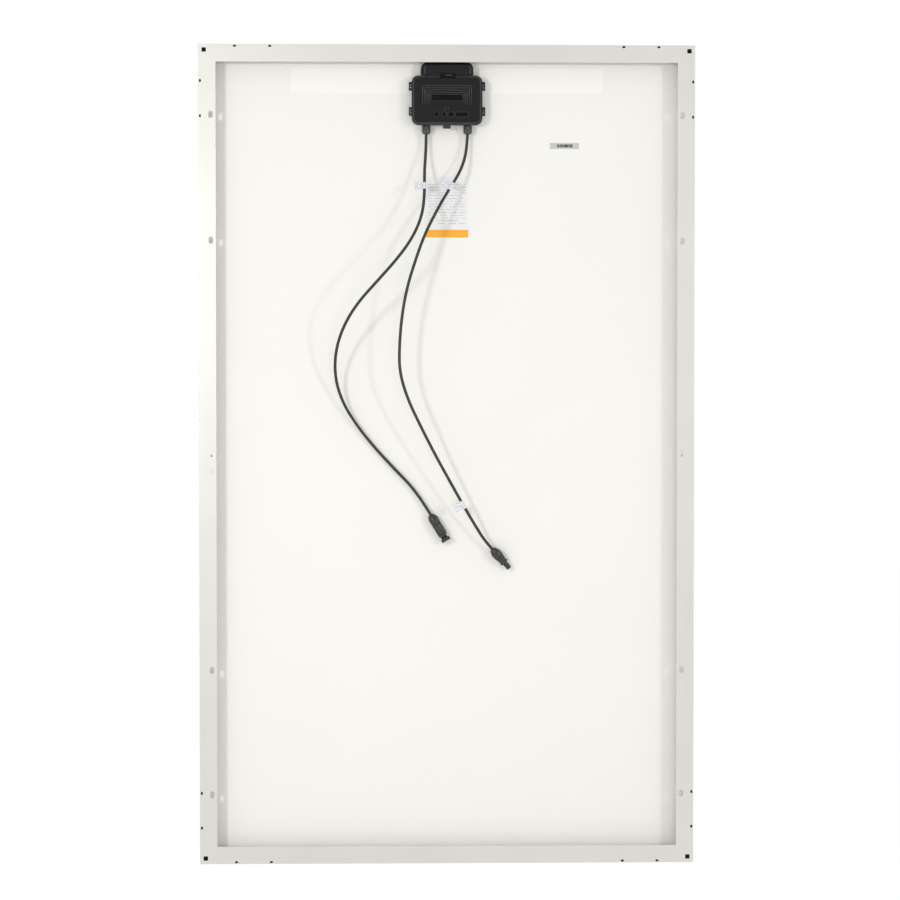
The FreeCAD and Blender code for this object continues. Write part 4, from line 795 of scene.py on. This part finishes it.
def lid_ribs(top):
    """Four raised lines round three sides of the panel, one outside the other."""
    ribs = []
    for half, height in ((37, 16), (41.2, 20.5), (45.4, 25), (49.6, 29.5)):
        foot = -10 * MM
        below = foot - 12 * MM
        rib = raised_line("lid_rib", half * 2 * MM, height * MM - below, 4 * MM, 1.8 * MM, 1.1 * MM)
        hold(rib)
        rib.location = (0, (height * MM + below) / 2, top - 0.1 * MM)
        bpy.ops.object.transform_apply()
        bpy.ops.object.mode_set(mode="EDIT")
        bpy.ops.mesh.select_all(action="SELECT")
        bpy.ops.mesh.bisect(plane_co=(0, foot, 0), plane_no=(0, 1, 0), clear_inner=True, use_fill=True)
        done_shaping()
        # The raised lines are painted greyer: a painted highlight.
        ribs.append(dress(rib, painted_highlight_black))
    return ribs


def lid_catch(top):
    """The catch at the lid's upper edge: a hooded pocket painted dark as a painted shade, with a tongue
    across it; tongue and sill are painted greyer as a painted highlight.
    """
    hood = placed(bar("catch_hood", 32 * MM, 9.6 * MM, 4.4 * MM, 2.6 * MM), 1.5 * MM, 48.4 * MM,
                  top - 0.6 * MM)
    tongue = placed(bar("catch_tongue", 15 * MM, 2.2 * MM, 1 * MM, 0.9 * MM), 3.2 * MM, 49.2 * MM,
                    top + 1.8 * MM)
    sill = placed(bar("catch_sill", 30 * MM, 2 * MM, 0.9 * MM, 1.4 * MM), 1.5 * MM, 42.6 * MM, top - 0.2 * MM)
    return [dress(hood, painted_shade_black), dress(tongue, painted_highlight_black), dress(sill, painted_highlight_black)]


def lid_fields(top):
    """The blank fields under the panel: matt floors painted darker as a painted shade, between thin raised
    lines painted greyer as a painted highlight.
    """
    pieces = []
    for middle, wide in ((-21.2, 10.5), (-6.2, 9.5), (7.6, 12.5), (29.5, 26)):
        rim = raised_line("blank_field", wide * MM, 10.5 * MM, 0.8 * MM, 1 * MM, 0.7 * MM)
        floor = bar("field_floor", (wide - 2) * MM, 8.5 * MM, 0.5 * MM, 0.2 * MM)
        pieces.append(dress(placed(rim, middle * MM, -28.8 * MM, top - 0.1 * MM), painted_highlight_black))
        pieces.append(dress(placed(floor, middle * MM, -28.8 * MM, top - 0.1 * MM), painted_shade_black))
    return pieces


def make_lid():
    """The lid with its ribs, blank fields, catch, pull tab and the prongs that hold it."""
    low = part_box("jbox_lid")[0]
    top = 6.6 * MM
    pieces = [lid_shell(top)] + lid_ribs(top) + lid_catch(top - 1.6 * MM) + lid_fields(top)
    # The panel's rim and the gate ring are painted greyer, a painted highlight; the panel's floor is painted
    # darker, a painted shade.
    rim = raised_line("panel_rim", 65.8 * MM, 14.2 * MM, 1.2 * MM, 1.1 * MM, 0.6 * MM)
    pieces.append(dress(placed(rim, 0, PANEL_MIDDLE, top - 0.1 * MM), painted_highlight_black))
    floor = bar("panel_floor", 61 * MM, 10.4 * MM, 0.6 * MM, 0.3 * MM)
    pieces.append(dress(placed(floor, 0, PANEL_MIDDLE, top - 1.3 * MM), painted_shade_black))
    deselect()
    bpy.ops.mesh.primitive_torus_add(major_segments=32, minor_segments=10, major_radius=5 * MM,
                                     minor_radius=0.9 * MM)
    gate = bpy.context.active_object
    gate.scale = (1, 0.7, 1)
    bpy.ops.object.transform_apply(scale=True)
    bpy.ops.object.shade_smooth()
    pieces.append(dress(placed(gate, -0.6 * MM, -17 * MM, top), painted_highlight_black))
    # The pull tab takes the same greyer material.
    tab = bar("pull_tab", 15.6 * MM, 8.4 * MM, 1.6 * MM, 2 * MM)
    pieces.append(dress(placed(tab, -0.6 * MM, -52.2 * MM, 0.4 * MM), painted_highlight_black))
    lid = join(pieces, "junction_box_lid")
    stand(lid, 0, low.y + top, BOX_MIDDLE)
    prongs = []
    for side in (-1, 1):
        prong = node_copy("jbox_lid", "lid_prongs", 0.3 * MM)
        hold(prong)
        bpy.ops.object.mode_set(mode="EDIT")
        bpy.ops.mesh.select_all(action="SELECT")
        bpy.ops.mesh.bisect(plane_co=(PRONG_PLANE * side, 0, 0), plane_no=(side, 0, 0), clear_inner=True,
                            use_fill=True)
        done_shaping()
        # The prongs are painted greyer: a painted highlight.
        prongs.append(dress(prong, painted_highlight_black))
    lid = join([lid] + prongs, "junction_box_lid")
    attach(lid, "lid")
    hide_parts("jbox_lid")


def hump_face():
    """The raised face of the hump above the lid, with a bead up each side."""
    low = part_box("jbox_base")[0]
    face = rounded_plate("hump_face", 94 * MM, 26 * MM, 5 * MM, 8)
    done_shaping()
    thicken(face, 3 * MM, 2.6 * MM, 6)
    stand(face, 1 * MM, low.y + 0.6 * MM, BOX_MIDDLE + 59 * MM)
    pieces = [dress(face, black_box)]
    for x in (-44.6, 46.6):
        bead = bar("hump_bead", 3.4 * MM, 17 * MM, 1.7 * MM, 1.4 * MM)
        stand(bead, x * MM, low.y - 1.4 * MM, BOX_MIDDLE + 61 * MM)
        # The beads are painted greyer: a painted highlight of the side lamps.
        pieces.append(dress(bead, painted_highlight_black))
    return pieces


def frame_at_plug(route):
    """The turn and place that bring z along a plug from its cable's end."""
    end, before = (Vector((x, y, BOX_MIDDLE / MM + z)) * MM for x, y, z in (route[-1], route[-2]))
    return frame_on(end, (end - before).normalized())


def mouth_collar():
    """The short collar that ties the tips of the left plug's two locking arms together."""
    deselect()
    bpy.ops.mesh.primitive_cylinder_add(vertices=40, radius=8 * MM, depth=6.4 * MM, end_fill_type="NOTHING")
    collar = bpy.context.active_object
    thicken(collar, 1.5 * MM, 0.5 * MM)
    collar.matrix_world = frame_at_plug(LEFT_ROUTE) @ Matrix.Translation((0, 0, COLLAR_MIDDLE))
    hold(collar)
    bpy.ops.object.transform_apply()
    return dress(collar, black_fittings)


def grip_ribs(route, first, last, radius, count):
    """Ribs for the fingers, round a plug between two distances from its cable's end."""
    at_plug = frame_at_plug(route)
    upright = Matrix.Rotation(math.pi / 2, 4, "Z") @ Matrix.Rotation(math.pi / 2, 4, "X")
    ribs = []
    for number in range(count):
        rib = bar("grip_rib", 2.4 * MM, last - first, 0.7 * MM, 1.1 * MM)
        around = Matrix.Rotation(2 * math.pi * (number + 0.5) / count, 4, "Z")
        rib.matrix_world = (at_plug @ around @ Matrix.Translation((radius - 0.3 * MM, 0, (first + last) / 2))
                            @ upright)
        hold(rib)
        bpy.ops.object.transform_apply()
        # The ribs are painted greyer than the plug: a painted highlight.
        ribs.append(dress(rib, painted_highlight_plug))
    return ribs


def make_box_and_fittings():
    """The moulded pieces that keep the shape of their nodes, with softened edges."""
    for node, name, soft, material in (
        ("jbox_base", "junction_box_base", 0.7 * MM, black_box),
        ("gland_nut_left", "left_gland_nut", 0.35 * MM, black_glands),
        ("gland_nut_right", "right_gland_nut", 0.35 * MM, black_glands),
        ("plug_nut_left", "left_plug_nut", 0.4 * MM, black_fittings),
        ("plug_nut_right", "right_plug_nut", 0.4 * MM, black_fittings),
        ("plug_housing_left", "left_plug_housing", 0.35 * MM, black_fittings),
        ("plug_housing_right", "right_plug_housing", 0.35 * MM, black_fittings),
    ):
        piece = dress(node_copy(node, name, soft), material)
        if node == "jbox_base":
            piece = join([piece] + hump_face(), name)
        if node in PLUG_GRIPS:
            route, *grip = PLUG_GRIPS[node]
            piece = join([piece] + grip_ribs(route, *grip), name)
        if node == "plug_housing_left":
            piece = join([piece, mouth_collar()], name)
        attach(piece, "root")
        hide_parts(node)


set_camera()
make_lid()
make_box_and_fittings()
make_cables()
make_corner_plugs()
make_earth_marks()
set_world()
set_lamp("left_softbox", (-1.88, -2.73, 0.62), SOFTBOX_AIM, 0.45, 25)
set_lamp("right_softbox", (3.02, -3.11, 0.62), SOFTBOX_AIM, 0.45, 24)
# The low lamp only fills, so that the lower rail shows no glare of it.
set_lamp("low_fill", (0.4, -3.2, -0.55), (0, 0, -0.85), 1.2, 14).visible_glossy = False

rail_upright = anodised_aluminium("z")
rail_across = anodised_aluminium("x")
dress_nodes(rail_upright, "frame_rail_left", "frame_rail_right")
dress_nodes(rail_across, "frame_rail_top", "frame_rail_bottom")
dress_nodes(mill_aluminium(), "corner_key_bottom_left", "corner_key_bottom_right",
            "corner_key_top_right", "corner_key_top_left")
dress_nodes(backsheet_film(), "backsheet")
dress_nodes(plain_material("white insulation film", "EAEAE6", "F2F2EE", 200, 0.5), "insulation_strip")
dress_nodes(clear_sheet("tempered low-iron glass", "EEF4F2", 0.05, 0.06, 900), "front_glass")
dress_nodes(clear_sheet("clear laminating film", "F2F3F2", 0.015, 0.3, 400), "front_encapsulant",
            "rear_encapsulant")
dress_nodes(coated_silicon(), *[f"cell_string_{number}" for number in range(1, 7)])
tin = plain_material("tinned copper", "B9BABA", "D2D3D3", 500, 0.3, metallic=1.0)
dress_nodes(tin, "bus_ribbons", "lead_out_ribbons", *[f"tabbing_ribbons_{number}" for number in range(1, 7)])
dress_nodes(tin, *[f"terminal_{number}" for number in range(1, 5)])
dress_nodes(plain_material("drawn copper strand, tinned", "B08A6A", "C9B8A8", 900, 0.35, metallic=1.0),
            "conductor_left", "conductor_right", "plug_contact_left", "plug_contact_right")
dress_nodes(plain_material("cured silicone", "D9D9D4", "E6E6E1", 250, 0.55), "edge_seal", "jbox_adhesive")
dress_nodes(plain_material("moulded rubber", "141414", "1E1E1D", 600, 0.7), "lid_gasket", "gland_seal_left",
            "gland_seal_right", "plug_seal_left", "plug_seal_right")
dress_nodes(plain_material("moulded epoxy", "101010", "1A1A1A", 500, 0.35),
            *[f"bypass_diode_{number}" for number in range(1, 4)])
dress_nodes(black_box, "jbox_base")
dress_nodes(black_lid, "jbox_lid")
dress_nodes(black_glands, "gland_nut_left", "gland_nut_right")
dress_nodes(black_fittings, "plug_nut_left", "plug_nut_right", "plug_housing_left", "plug_housing_right")
dress_nodes(rating_label_print(), "rating_label")
dress_nodes(serial_label_print(), "serial_label")

set_floor()
